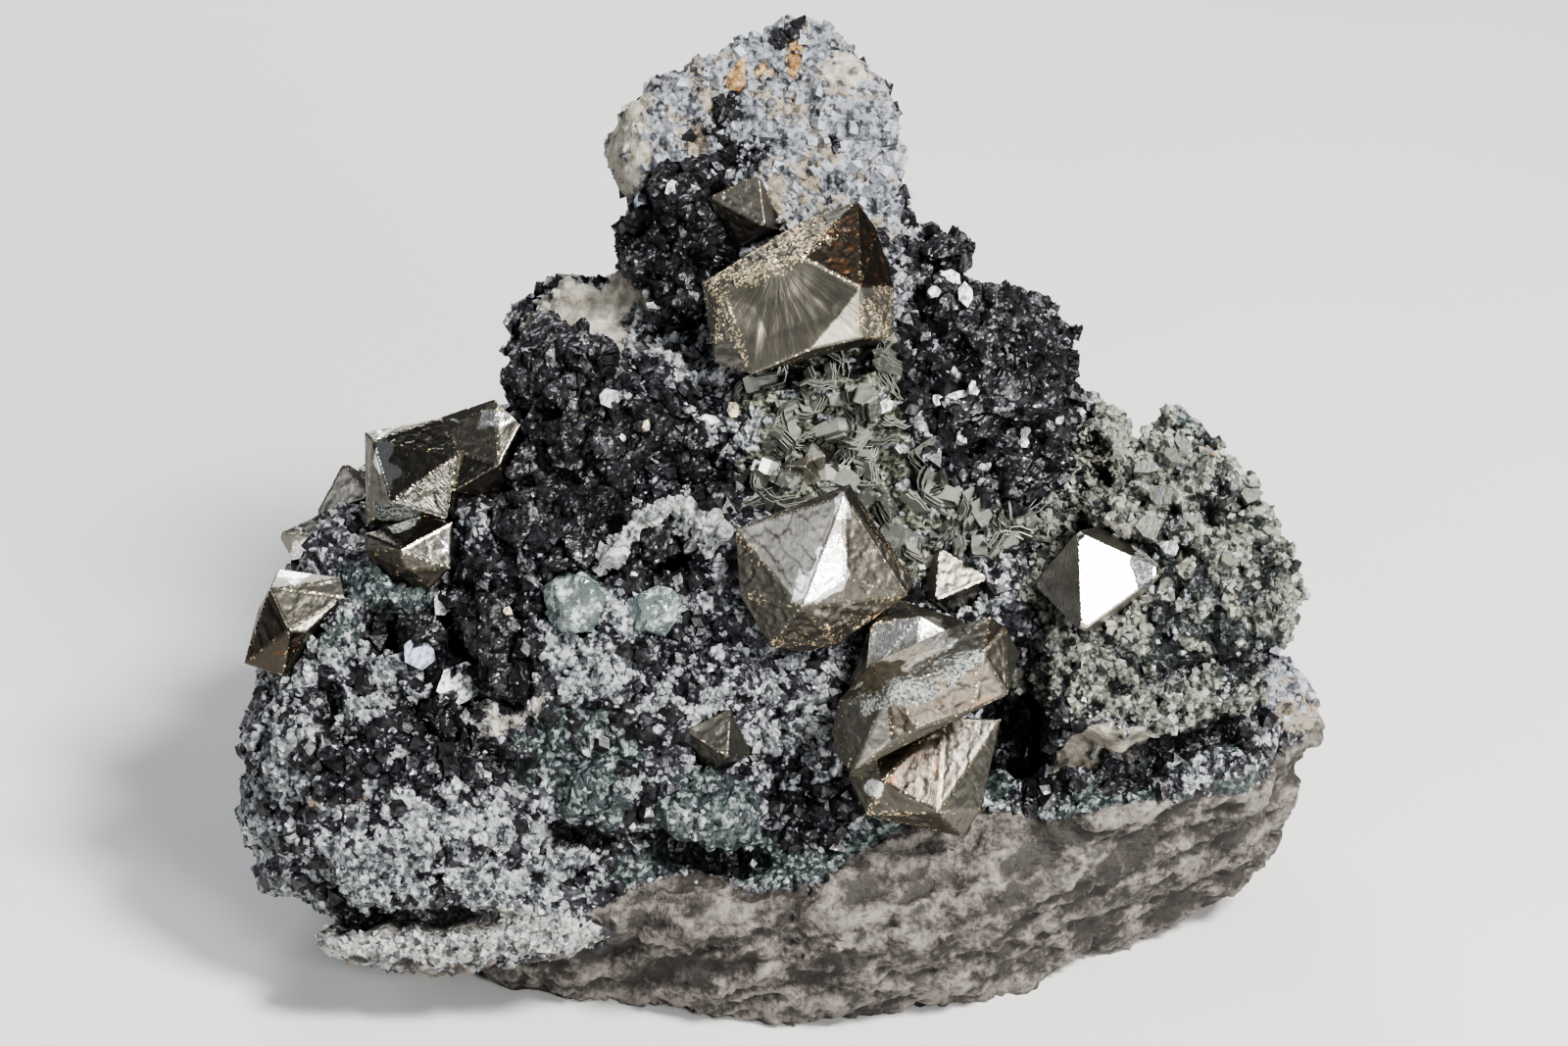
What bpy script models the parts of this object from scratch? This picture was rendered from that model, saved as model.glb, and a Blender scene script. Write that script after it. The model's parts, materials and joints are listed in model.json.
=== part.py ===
"""Octahedral pyrite with black magnetite on a lump of granular host rock, a hand specimen 80 mm wide.

The specimen is laid out as someone in front of it sees it, looking down at it by VIEW_TILT:
across runs to the right, up runs up the picture plane and away runs off from the eye. Those
three are in millimetres from one point inside the specimen, and seen() turns them into metres
in the part's own frame, +Z up, with the origin on the ground under the middle of the specimen.
"""

import math
import random

import bmesh
import bpy
from mathutils import Matrix, Vector, noise
from mathutils.bvhtree import BVHTree

MM = 0.001
VIEW_TILT = math.radians(27.0)
VIEW_CENTRE = Vector((0.0, -11.5, 35.0))
ACROSS = Vector((1.0, 0.0, 0.0))
UP = Vector((0.0, math.sin(VIEW_TILT), math.cos(VIEW_TILT)))
AWAY = Vector((0.0, math.cos(VIEW_TILT), -math.sin(VIEW_TILT)))

SOCKET_GAP = 0.3  # clear space between a crystal and the rock that it sits in, mm
ROCK_VOXEL = 0.85  # cell size that fuses the broken blocks into one rock, mm
ROCK_FACES = 3800
ROCK_SOLVER = "MANIFOLD"  # the exact solver loses the rock after some dozens of sockets
IN_FRONT = 60.0  # how far in front of the specimen's middle the view's lines start, mm

PYRITE = ("pyrite", (0.50, 0.43, 0.30), 0.28, 1.0)
MAGNETITE = ("magnetite", (0.035, 0.032, 0.042), 0.42, 0.55)
HOST_ROCK = ("host_rock", (0.36, 0.36, 0.34), 0.85, 0.0)
CALCITE = ("calcite", (0.74, 0.78, 0.76), 0.30, 0.0)


def seen(across, up, away):
    """A point given as the front view shows it, in mm, as a point of the part in metres."""
    return (VIEW_CENTRE + ACROSS * across + UP * up + AWAY * away) * MM


def hull_mesh(points):
    """The convex solid round some points, as a bmesh with its flat faces dissolved."""
    bm = bmesh.new()
    for point in points:
        bm.verts.new(point)
    bmesh.ops.convex_hull(bm, input=bm.verts)
    loose = [v for v in bm.verts if not v.link_faces]
    bmesh.ops.delete(bm, geom=loose, context="VERTS")
    bmesh.ops.dissolve_limit(bm, angle_limit=math.radians(1.0), verts=bm.verts, edges=bm.edges)
    bmesh.ops.recalc_face_normals(bm, faces=bm.faces)
    return bm


def new_object(name, bm):
    """An object holding the bmesh, which is freed."""
    mesh = bpy.data.meshes.new(name)
    bm.to_mesh(mesh)
    bm.free()
    made = bpy.data.objects.new(name, mesh)
    bpy.context.scene.collection.objects.link(made)
    return made


def finish(obj, finish_of):
    """Gives the object its one material: name, colour, roughness and metallic value."""
    name, colour, roughness, metallic = finish_of
    material = bpy.data.materials.get(name)
    if material is None:
        material = bpy.data.materials.new(name)
        material.use_nodes = True
        shader = material.node_tree.nodes["Principled BSDF"]
        shader.inputs["Base Color"].default_value = (*colour, 1.0)
        shader.inputs["Roughness"].default_value = roughness
        shader.inputs["Metallic"].default_value = metallic
    obj.data.materials.clear()
    obj.data.materials.append(material)


def apply_modifiers(obj):
    """Replaces the object's mesh by what its modifiers make of it."""
    graph = bpy.context.evaluated_depsgraph_get()
    mesh = bpy.data.meshes.new_from_object(obj.evaluated_get(graph))
    obj.modifiers.clear()
    obj.data = mesh


def combine(obj, other, operation, solver="EXACT"):
    """Joins other into obj, or cuts it out of obj, and removes other."""
    boolean = obj.modifiers.new(operation.lower(), "BOOLEAN")
    boolean.operation = operation
    boolean.solver = solver
    boolean.object = other
    bpy.context.view_layer.update()
    apply_modifiers(obj)
    bpy.data.objects.remove(other)


def keep_largest(obj):
    """Drops the crumbs that a cut leaves beside the main body."""
    bm = bmesh.new()
    bm.from_mesh(obj.data)
    left, islands = set(bm.verts), []
    while left:
        island, edge_of_search = set(), [left.pop()]
        while edge_of_search:
            vertex = edge_of_search.pop()
            island.add(vertex)
            for edge in vertex.link_edges:
                other = edge.other_vert(vertex)
                if other in left:
                    left.remove(other)
                    edge_of_search.append(other)
        islands.append(island)
    islands.sort(key=len)
    crumbs = [v for island in islands[:-1] for v in island]
    bmesh.ops.delete(bm, geom=crumbs, context="VERTS")
    bm.to_mesh(obj.data)
    bm.free()


# The host rock: broken blocks fused into one lump, then roughened and thinned to flat facets.

# Rounded blocks of the front: centre and half sizes as seen (across, up, away), turn in the picture plane.
ROUNDED_BLOCKS = (
    ("left_bulge", (-28.0, -20.6, 7.0), (12.0, 8.2, 9.5), 6),
    ("left_end", (-35.8, -19.0, 10.0), (5.2, 8.6, 8.0), 0),
    ("left_shoulder", (-30.5, -11.0, 10.5), (8.5, 6.5, 8.0), -20),
    ("front_left", (-11.0, -18.2, 7.5), (12.0, 9.8, 9.0), 0),
    ("front_middle", (3.5, -19.0, 8.0), (11.0, 8.4, 8.5), 8),
    ("right_ledge", (25.5, -21.0, 9.5), (14.5, 3.4, 9.5), 24),
    ("right_hollow", (20.5, -13.0, 13.5), (10.0, 8.0, 7.5), 0),
    ("middle_left", (-14.8, -6.4, 9.0), (12.0, 10.0, 9.5), 0),
    ("left_seat", (-28.5, -5.0, 13.5), (9.5, 7.5, 8.0), 0),
    ("middle", (0.0, -6.4, 9.5), (12.5, 10.5, 9.5), 0),
    ("middle_right", (13.5, -5.5, 11.5), (9.5, 10.0, 9.0), 0),
    ("left_rise", (-21.5, 0.5, 13.0), (7.5, 6.5, 7.5), 0),
    ("saddle", (3.0, 7.7, 15.0), (12.0, 12.5, 10.0), 0),
    ("left_ridge", (-13.0, 6.0, 12.5), (8.0, 8.5, 9.5), 0),
    ("neck", (1.0, 20.0, 20.0), (9.0, 9.0, 9.5), 0),
    ("upper_left", (-7.2, 20.5, 17.5), (4.6, 8.5, 6.5), 0),
    ("rear_left_lump", (-15.6, 14.6, 21.0), (4.6, 4.4, 5.0), 0),
    ("behind_slab", (30.0, -7.0, 14.5), (6.5, 6.0, 7.5), 0),
    ("rear_right_low", (37.4, -14.4, 14.0), (3.6, 3.6, 6.0), 0),
    ("dark_green_lump", (-29.6, -4.4, 6.5), (3.0, 2.8, 4.0), 0),
    ("glassy_lump", (-32.8, -8.9, 6.0), (2.2, 1.8, 4.0), 0),
    ("low_green_lumps", (-9.6, -21.0, 3.5), (6.2, 2.5, 5.0), -8),
    ("white_boss", (-14.6, -12.0, 4.0), (4.6, 4.0, 5.0), 0),
    ("lower_left_boss", (-23.0, -21.5, 2.5), (6.0, 5.2, 5.0), 0),
)
# Flat-sided blocks: corners as seen. Each is closed behind by a smaller copy of its outline.
TOP_BLOCK = (
    (-14.3, 29.2, 17.0), (-13.4, 25.6, 17.5), (-12.0, 32.6, 14.5), (-6.5, 35.6, 14.0), (0.3, 39.0, 14.5),
    (3.8, 38.4, 14.5), (6.4, 35.4, 14.0), (8.9, 31.8, 13.5), (9.2, 26.5, 13.0), (7.3, 20.0, 12.5),
    (-6.8, 20.5, 12.5), (-10.3, 23.4, 13.0),
)
SHOULDER_UPPER = ((8.2, 25.0, 13.5), (12.4, 20.8, 13.0), (14.0, 17.6, 12.0), (12.0, 8.0, 9.0), (5.0, 17.0, 11.0))
SHOULDER_LOWER = (
    (12.0, 16.6, 11.5), (18.8, 16.6, 12.0), (21.4, 13.4, 12.0), (22.2, 9.6, 11.5), (21.2, 3.6, 10.0),
    (19.0, -2.0, 7.0), (12.0, -5.0, 4.0), (7.5, 2.5, 6.5),
)
SLAB_UPPER = (
    (28.8, 9.0, 1.4), (30.8, 7.6, 1.2), (32.4, 4.5, 1.0), (35.2, 2.4, 1.0), (36.2, -2.0, 0.8), (23.4, -3.0, 0.8),
    (23.5, 0.9, 1.0), (26.2, 4.9, 1.2),
)
SLAB_LOWER = (
    (35.2, 2.4, 1.0), (38.7, -4.8, 1.2), (37.6, -10.4, 1.0), (31.6, -13.1, 0.6), (25.9, -15.8, 0.4),
    (19.6, -16.8, 0.4), (17.8, -12.0, 0.8), (19.4, -8.3, 0.8), (23.5, 0.9, 1.0),
)
SLAB_UNDERLAYER = (
    (37.6, -9.5, 3.0), (36.8, -13.4, 3.0), (30.0, -16.2, 2.8), (21.5, -18.6, 2.6), (19.6, -15.0, 2.6),
    (30.0, -10.0, 3.0),
)
FRONT_LEDGE = (
    (-34.4, -28.2, 0.4), (-34.2, -31.4, 0.2), (-28.8, -32.4, -0.8), (-17.3, -31.4, -1.2), (-7.2, -28.6, -0.8),
    (-5.6, -26.6, -0.6), (-17.3, -27.0, -1.0), (-28.8, -27.8, -0.6),
)
FLAT_BLOCKS = (
    (TOP_BLOCK, 11.0, 0.88),
    (SHOULDER_UPPER, 12.0, 0.88),
    (SHOULDER_LOWER, 14.0, 0.80),
    (SLAB_UPPER, 6.0, 0.84),
    (SLAB_LOWER, 7.5, 0.84),
    (SLAB_UNDERLAYER, 8.0, 0.90),
    (FRONT_LEDGE, 13.0, 0.95),
)
# Blocks of the rear, out of the photograph's sight: centre and half sizes along X, Y and Z, in mm.
REAR_BLOCKS = (
    ("rear_middle", (-1.0, 11.0, 28.0), (19.0, 14.0, 17.0)),
    ("rear_left", (-20.0, 6.0, 20.5), (14.5, 15.0, 11.0)),
    ("rear_right", (15.0, 11.0, 22.0), (13.5, 13.5, 13.0)),
    ("rear_right_low", (24.0, 3.0, 15.0), (13.5, 14.0, 9.0)),
)
# The base: where it meets the ground, seen from above, and the rim that it widens to, in mm.
FOOT = (
    (-30.0, -13.0), (-27.0, -17.5), (-8.0, -23.6), (4.0, -24.6), (13.0, -22.2), (28.5, -12.8), (33.0, -3.0),
    (30.0, 14.0), (14.0, 23.0), (-10.0, 24.0), (-27.0, 18.0), (-33.0, 2.0),
)
RIM = (
    (-36.0, -15.0, 12.0), (-24.0, -21.0, 9.0), (-9.0, -26.0, 9.0), (5.0, -26.6, 10.5), (17.0, -24.4, 11.0),
    (30.0, -17.8, 11.5), (37.5, -10.0, 5.5), (40.2, -8.0, 13.5), (40.0, -7.0, 18.5), (39.0, 3.0, 17.0),
    (32.0, 17.0, 16.0), (12.0, 26.0, 16.0), (-12.0, 26.5, 16.0), (-30.0, 19.0, 15.0), (-37.5, 3.0, 14.0),
)
FOOT_DEPTH = 0.3  # how far the base reaches below the level where it is cut flat, mm
# Hollows: centre and half sizes as seen, turn in the picture plane.
HOLLOWS = (
    ("under_slab", (20.6, -17.4, 1.0), (3.7, 2.0, 4.5), 10),
    ("left_hole", (-29.4, -8.6, 2.6), (1.5, 1.2, 3.4), 0),
    ("below_bar", (18.0, -13.6, 2.0), (2.2, 2.6, 4.0), 0),
)


def rounded_block(half, seed, corners=30, squareness=0.72, jitter=0.10):
    """Points of a broken block: an even spread over a sphere, squared off, jittered and scaled."""
    pick = random.Random(seed)
    golden_turn = math.pi * (3.0 - math.sqrt(5.0))
    points = []
    for i in range(corners):
        height = 1.0 - 2.0 * (i + 0.5) / corners
        ring = math.sqrt(1.0 - height * height)
        turn = golden_turn * i + pick.uniform(-0.3, 0.3)
        ball = (ring * math.cos(turn), ring * math.sin(turn), height)
        squared = [math.copysign(abs(c) ** squareness, c) for c in ball]
        grow = 1.0 + pick.uniform(-jitter, jitter)
        points.append(Vector(c * h * grow for c, h in zip(squared, half)))
    return points


def flat_block(outline, thickness, taper):
    """Corner points of a slab with that outline as seen, its back a little smaller than its front."""
    middle = sum((Vector(corner) for corner in outline), Vector()) / len(outline)
    corners = []
    for corner in outline:
        back = middle + (Vector(corner) - middle) * taper
        corners.append(seen(*corner))
        corners.append(seen(back.x, back.y, corner[2] + thickness))
    return corners


def placed_block(centre, half, turn, seed):
    """A rounded block's points where it stands, its sizes and its turn given as seen."""
    spin = Matrix.Rotation(math.radians(turn), 3, "Z")
    return [seen(*(Vector(centre) + spin @ point)) for point in rounded_block(half, seed)]


def block_hulls():
    """Every broken block of the rock, as one bmesh each."""
    for seed, (_, centre, half, turn) in enumerate(ROUNDED_BLOCKS):
        yield hull_mesh(placed_block(centre, half, turn, seed))
    for outline, thickness, taper in FLAT_BLOCKS:
        yield hull_mesh(flat_block(outline, thickness, taper))
    for seed, (_, centre, half) in enumerate(REAR_BLOCKS):
        yield hull_mesh([(Vector(centre) + p) * MM for p in rounded_block(half, 100 + seed, corners=40)])
    yield hull_mesh([Vector((x, y, -FOOT_DEPTH)) * MM for x, y in FOOT] + [Vector(p) * MM for p in RIM])


def calm(place):
    """How much of the roughness a place takes: little on the flat-sided top block and slab."""
    shift = place - VIEW_CENTRE
    across, up, away = shift.dot(ACROSS), shift.dot(UP), shift.dot(AWAY)
    on_top = max(0.0, min(1.0, (up - 24.0) / 4.0, (20.0 - away) / 3.0))
    on_slab = max(0.0, min(1.0, (across - 17.0) / 3.0)) if -17.0 < up < 12.0 and away < 10.0 else 0.0
    return 1.0 - 0.65 * max(on_top, on_slab)


def roughen(mesh):
    """Moves the rock's surface in and out: swells, lumps with creases between them, and low ledges."""
    bm = bmesh.new()
    bm.from_mesh(mesh)
    bm.normal_update()
    moves = []
    for vertex in bm.verts:
        place = vertex.co / MM
        swell = noise.noise(place / 9.0) * 1.1
        lumps = abs(noise.noise(place / 4.6)) * 2.6 - 0.6
        bedding = place.z - 0.22 * place.x + 3.0 * noise.noise(place / 11.0)
        ledge = math.sin(bedding * 2.0 * math.pi / 5.0) * 0.4
        low_rock = max(0.0, min(1.0, (24.0 - place.z) / 8.0))
        rise = swell + lumps * (1.0 - 0.5 * low_rock) + ledge * low_rock
        moves.append(vertex.normal * rise * calm(place) * MM)
    for vertex, move in zip(bm.verts, moves):
        vertex.co += move
    bm.to_mesh(mesh)
    bm.free()


def fuse(rock):
    """Rebuilds the rock's surface as one even skin, which closes over every overlap inside it."""
    skin = rock.modifiers.new("fuse", "REMESH")
    skin.mode = "VOXEL"
    skin.voxel_size = ROCK_VOXEL * MM
    bpy.context.view_layer.update()
    apply_modifiers(rock)
    keep_largest(rock)


def make_rock():
    """The host rock before anything is let into it."""
    joined = bmesh.new()
    for block in block_hulls():
        mesh = bpy.data.meshes.new("block")
        block.to_mesh(mesh)
        block.free()
        joined.from_mesh(mesh)
        bpy.data.meshes.remove(mesh)
    rock = new_object("host_rock", joined)
    fuse(rock)
    for seed, (name, centre, half, turn) in enumerate(HOLLOWS):
        hollow = hull_mesh(placed_block(centre, half, turn, 200 + seed))
        combine(rock, new_object(name, hollow), "DIFFERENCE", ROCK_SOLVER)
    roughen(rock.data)
    fuse(rock)
    thin = rock.modifiers.new("thin", "DECIMATE")
    thin.ratio = ROCK_FACES / (2.0 * len(rock.data.polygons))
    bpy.context.view_layer.update()
    apply_modifiers(rock)
    flatten_foot(rock)
    return rock


def flatten_foot(rock):
    """Cuts the rock's underside flat where it stands."""
    width, depth = 200.0 * MM, 20.0 * MM
    below = bmesh.new()
    bmesh.ops.create_cube(below, size=1.0)
    below.transform(Matrix.Translation((0, 0, -depth / 2)) @ Matrix.Diagonal((width, width, depth, 1.0)))
    combine(rock, new_object("below_foot", below), "DIFFERENCE", ROCK_SOLVER)
    keep_largest(rock)


# The crystals. A hull's corners are offsets from its centre, across, up and away, in mm.

CENTRAL = (
    (3.0, -3.1, -1.0),
    (
        (-6.6, 2.7, 0.0), (1.8, 6.0, -1.6), (1.3, 5.1, -3.2), (6.5, -1.2, -0.6), (6.0, -2.2, -1.3),
        (0.9, -5.8, -1.6), (-1.5, -6.4, 0.0), (-4.0, -6.0, -0.5), (-6.3, -2.2, -0.8), (-1.8, -3.0, -4.7),
        (1.4, -0.8, -3.7), (0.5, 2.0, 5.0), (-2.5, -1.5, 4.6), (2.5, -2.0, 4.4),
    ),
)
UPPER_BROKEN = (
    (1.2, 17.5, 5.5),
    (
        (-7.4, 0.5, 0.0), (0.1, 5.2, 0.6), (4.3, 6.8, 1.7), (5.8, 4.7, 1.7), (7.1, 0.2, 0.0), (6.9, -3.6, -0.6),
        (4.6, -3.8, -2.3), (0.7, -4.7, -3.2), (-3.6, -6.5, -2.9), (-6.4, -5.6, -1.7), (-6.0, -0.6, -1.7),
        (-2.6, 1.6, -2.3), (0.1, 2.3, -2.6), (4.5, 0.0, -3.0), (-4.6, 0.0, 5.7), (3.4, 3.4, 6.8),
        (4.6, -2.3, 5.7), (-3.4, -4.6, 5.2),
    ),
)
FRONT_WHITE_FACED = (
    (9.0, -9.5, -1.0),
    (
        (-0.5, 3.9, 1.3), (-2.6, 2.3, -1.3), (1.0, 2.7, -1.7), (4.4, 2.3, 1.9), (3.1, 1.5, -1.3),
        (-3.1, -1.8, -1.9), (-4.2, -2.3, 0.6), (-4.5, -4.4, 0.0), (0.3, -4.4, -2.6), (4.1, -2.3, 0.0),
        (0.0, 0.0, 4.5), (2.0, -2.0, 4.0),
    ),
)
FRONT_BAR = (
    (9.8, -12.0, -6.0),
    (
        (-6.4, -3.1, 0.6), (-5.9, -0.8, 0.0), (-3.6, 1.8, 1.3), (2.1, 4.4, 1.3), (5.1, 5.3, 0.6), (6.2, 4.5, 0.0),
        (7.3, 2.6, 1.3), (6.3, -0.3, -1.3), (3.7, -1.4, -1.9), (0.0, -2.7, -2.6), (-2.1, -3.6, -2.6),
        (-4.8, -5.8, -1.3), (-5.8, -5.3, 0.0), (-2.4, 0.0, -3.2), (4.4, 2.7, -1.9), (-1.0, 1.0, 6.0),
        (3.0, 2.0, 6.5), (-2.0, -2.0, 5.5),
    ),
)
FRONT_LOWER = (
    (10.0, -18.6, -0.5),
    (
        (-5.4, 0.0, -1.3), (-4.0, -2.8, -1.9), (-2.9, -0.1, -4.2), (3.1, -4.4, -1.3), (4.4, -2.4, -1.5),
        (6.0, 4.2, 0.0), (1.2, -2.3, -4.5), (1.8, 4.5, -1.9), (-4.0, 3.9, -1.3), (0.0, 0.0, 5.6),
        (3.0, 1.0, 5.0), (-3.0, 1.0, 4.6),
    ),
)
LEFT_LARGE = (
    (-27.9, 4.1, 6.0),
    (
        (-3.6, 2.7, 0.0), (-3.5, -4.4, 0.0), (2.5, 3.9, 0.5), (-1.3, -2.5, -2.6), (2.7, -3.8, -1.5),
        (-2.8, 2.1, -1.9), (3.6, 1.0, -2.1), (4.1, -2.1, 0.0), (0.0, 0.0, 5.1), (2.1, 2.1, 4.6),
    ),
)
LEFT_UPPER = (
    (-22.7, 5.9, 6.0),
    (
        (-3.1, 2.1, 0.5), (1.0, 3.4, 0.0), (3.0, 1.5, -0.5), (1.5, -1.5, -2.1), (-2.1, -3.6, -1.5),
        (2.1, -4.1, 0.0), (-3.4, 0.0, -1.0), (0.0, 0.0, 4.6), (1.0, -2.0, 4.4),
    ),
)
LEFT_LOWER = (
    (-27.9, -1.9, 4.5),
    (
        (-3.5, 1.1, 0.0), (0.8, 2.5, 0.0), (3.2, 2.0, -0.5), (-0.5, -0.1, -2.6), (3.1, -1.5, -1.0),
        (-0.1, -1.5, -2.1), (-3.4, 0.0, -0.5), (1.5, -3.1, -0.5), (-2.0, -2.6, 0.0), (0.0, 0.0, 4.5),
    ),
)
LEFT_TIP = (
    (-36.6, -7.3, 4.0),
    (
        (-1.5, 2.5, -1.6), (-3.7, -3.2, 0.0), (-1.2, 3.9, 1.1), (3.5, 3.3, 0.5), (3.9, 1.8, -0.5),
        (0.1, -0.6, -3.2), (1.4, -0.7, -2.6), (-0.6, -4.1, -1.1), (-2.7, 0.7, 0.0), (0.5, 0.0, 4.8),
        (2.5, -2.0, 4.2),
    ),
)
# True octahedra: centre, then the three half axes, all as seen in mm.
RIGHT_OCTAHEDRON = ((23.2, -4.0, 1.0), ((-1.8, 3.4, -3.4), (-1.5, -4.0, -3.2), (4.7, 0.5, -2.3)))
SMALL_LOWER = ((-4.8, -16.1, -0.6), ((-2.5, 0.9, -1.0), (0.9, 2.6, -0.7), (0.7, -0.9, -2.7)))
SMALL_UPPER = ((-2.9, 23.6, 11.4), ((-2.9, 1.2, -1.2), (1.0, 2.9, -1.5), (1.5, -1.2, -2.8)))
SLIVER = ((12.4, -4.7, 4.2), ((-0.9, 3.0, -1.0), (2.9, 0.6, -1.4), (-1.3, -1.1, -2.9)))
LEFT_REAR = (
    ((-35.3, -2.0, 12.5), ((-3.4, 1.2, -0.8), (1.1, 3.3, -0.9), (0.6, 0.9, -3.5))),
    ((-33.0, 1.6, 13.5), ((-2.9, -1.0, -1.2), (-0.8, 3.1, -0.6), (1.4, 0.4, -2.9))),
)
GOLDEN_GRAINS = (
    ((1.4, 3.7, 4.8), ((-1.5, 0.6, -0.4), (0.6, 1.5, -0.5), (0.2, 0.5, -1.6))),
    ((2.5, 4.8, 5.2), ((-1.3, -0.5, -0.6), (-0.4, 1.4, -0.4), (0.6, 0.2, -1.4))),
)


def cut_corner_octahedron(half_axes, bluntness=0.08):
    """Corners of an octahedron whose six tips are blunted a little, as grown pyrite's are."""
    axes = [Vector(axis) for axis in half_axes]
    tips = axes + [-axis for axis in axes]
    corners = []
    for tip in tips:
        for other in tips:
            if abs(tip.normalized().dot(other.normalized())) < 0.7:
                corners.append(tip.lerp(other, bluntness))
    return corners


def crystal(centre, corners, grow=0.0):
    """A crystal's hull in the part's frame, with every face moved out by grow, in mm."""
    bm = hull_mesh([seen(*(Vector(centre) + Vector(corner))) for corner in corners])
    if grow == 0.0:
        return bm
    bm.normal_update()
    moved = [v.co + v.normal * v.calc_shell_factor() * grow * MM for v in bm.verts]
    bm.free()
    return hull_mesh(moved)


class Cluster:
    """Crystals grown into each other: one node, with the cutter that makes room for it."""

    def __init__(self, name, finish_of, members):
        self.name = name
        self.finish_of = finish_of
        self.members = members

    def build(self):
        made = None
        for index, (centre, corners) in enumerate(self.members):
            piece = new_object(f"{self.name}_{index}", crystal(centre, corners))
            if made is None:
                made = piece
            else:
                combine(made, piece, "UNION")
        made.name = self.name
        finish(made, self.finish_of)
        return made

    def cut_from(self, other, solver="EXACT"):
        for index, (centre, corners) in enumerate(self.members):
            cutter = crystal(centre, corners, SOCKET_GAP)
            combine(other, new_object(f"{self.name}_cutter_{index}", cutter), "DIFFERENCE", solver)


def octahedral(centre_and_axes):
    """A true octahedron written as a hull."""
    centre, half_axes = centre_and_axes
    return centre, cut_corner_octahedron(half_axes)


def pyrites():
    """Every pyrite crystal or intergrown group, front and centre first."""
    return [
        Cluster("pyrite_central", PYRITE, [CENTRAL]),
        Cluster("pyrite_upper_broken", PYRITE, [UPPER_BROKEN]),
        Cluster("pyrite_right_octahedron", PYRITE, [octahedral(RIGHT_OCTAHEDRON)]),
        Cluster("pyrite_front_group", PYRITE, [FRONT_BAR, FRONT_WHITE_FACED, FRONT_LOWER]),
        Cluster("pyrite_left_group", PYRITE, [LEFT_LARGE, LEFT_UPPER, LEFT_LOWER]),
        Cluster("pyrite_left_tip", PYRITE, [LEFT_TIP]),
        Cluster("pyrite_left_rear", PYRITE, [octahedral(one) for one in LEFT_REAR]),
        Cluster("pyrite_small_lower", PYRITE, [octahedral(SMALL_LOWER)]),
        Cluster("pyrite_small_upper", PYRITE, [octahedral(SMALL_UPPER)]),
        Cluster("pyrite_dark_sliver", PYRITE, [octahedral(SLIVER)]),
        Cluster("pyrite_golden_grains", PYRITE, [octahedral(one) for one in GOLDEN_GRAINS]),
    ]


# Magnetite: blunt black dodecahedra crowded over patches of the rock, fused patch by patch.

# Each patch: centre and half sizes across and up, turn of the ellipse, crystals, their radius, mm.
MAGNETITE_PATCHES = (
    ("magnetite_peak", (-17.0, 11.6), (2.0, 1.7), 20, 4, 3.8),
    ("magnetite_left_ridge", (-13.8, 2.0), (7.4, 5.6), 30, 12, 3.1),
    ("magnetite_lower_left", (-23.8, -10.0), (4.4, 4.6), -20, 7, 2.8),
    ("magnetite_upper_left", (-8.5, 21.2), (2.7, 4.8), 10, 7, 2.6),
    ("magnetite_upper_right", (12.2, 22.3), (1.7, 4.6), 38, 5, 2.4),
    ("magnetite_right_shoulder", (17.3, 9.6), (4.8, 9.4), 26, 13, 3.4),
)
DODECAHEDRON = [Vector((x, y, z)) for x in (-1, 1) for y in (-1, 1) for z in (-1, 1)]
DODECAHEDRON += [Vector(tip) * s for s in (-2, 2) for tip in ((1, 0, 0), (0, 1, 0), (0, 0, 1))]


def surface_finder(obj):
    """A function that gives the rock's surface as seen at some across and up, in mm away."""
    tree = BVHTree.FromObject(obj, bpy.context.evaluated_depsgraph_get())

    def away_at(across, up):
        start = seen(across, up, -IN_FRONT)
        hit = tree.ray_cast(start, AWAY, 3.0 * IN_FRONT * MM)[0]
        return None if hit is None else (hit - seen(across, up, 0.0)).dot(AWAY) / MM

    return away_at


def spread_in_ellipse(half, turn, count, pick):
    """Places in an ellipse, each the farthest of several random tries from those before it."""
    places = []
    for _ in range(count):
        tries = []
        for _ in range(14):
            reach, angle = math.sqrt(pick.random()), pick.uniform(0.0, 2.0 * math.pi)
            place = Vector((half[0] * reach * math.cos(angle), half[1] * reach * math.sin(angle)))
            place.rotate(Matrix.Rotation(math.radians(turn), 2))
            clear = min(((place - other).length for other in places), default=0.0)
            tries.append((clear, place))
        places.append(max(tries, key=lambda one: one[0])[1])
    return places


def magnetites(away_at):
    """The magnetite patches, each crystal sunk by half into the rock where the view meets it."""
    patches = []
    for seed, (name, centre, half, turn, count, radius) in enumerate(MAGNETITE_PATCHES):
        pick = random.Random(500 + seed)
        members = []
        for place in spread_in_ellipse(half, turn, count, pick):
            across, up = centre[0] + place.x, centre[1] + place.y
            away = away_at(across, up)
            if away is None:
                continue
            size = radius * pick.uniform(0.8, 1.2) / 2.0
            spin = Matrix.Rotation(pick.uniform(0, 6.3), 3, (pick.random(), pick.random(), 0.5))
            stretch = Vector((pick.uniform(0.9, 1.15), pick.uniform(0.85, 1.1), pick.uniform(0.85, 1.1)))
            corners = [spin @ (corner * stretch) * size for corner in DODECAHEDRON]
            members.append(((across, up, away + 0.35 * radius), corners))
        patches.append(Cluster(name, MAGNETITE, members))
    return patches


# Calcite: two clear, frosted crystals beside the magnetite, each a blunt barrel.

CALCITES = (
    ("calcite_large", (-15.4, -6.0), (2.5, 2.6, 2.6), 3),
    ("calcite_small", (-9.6, -6.6), (2.2, 1.9, 2.2), 4),
)


def calcites(away_at):
    made = []
    for name, (across, up), half, seed in CALCITES:
        corners = rounded_block(half, seed, corners=18, squareness=0.8, jitter=0.06)
        made.append(Cluster(name, CALCITE, [((across, up, away_at(across, up) + 0.4), corners)]))
    return made


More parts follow.
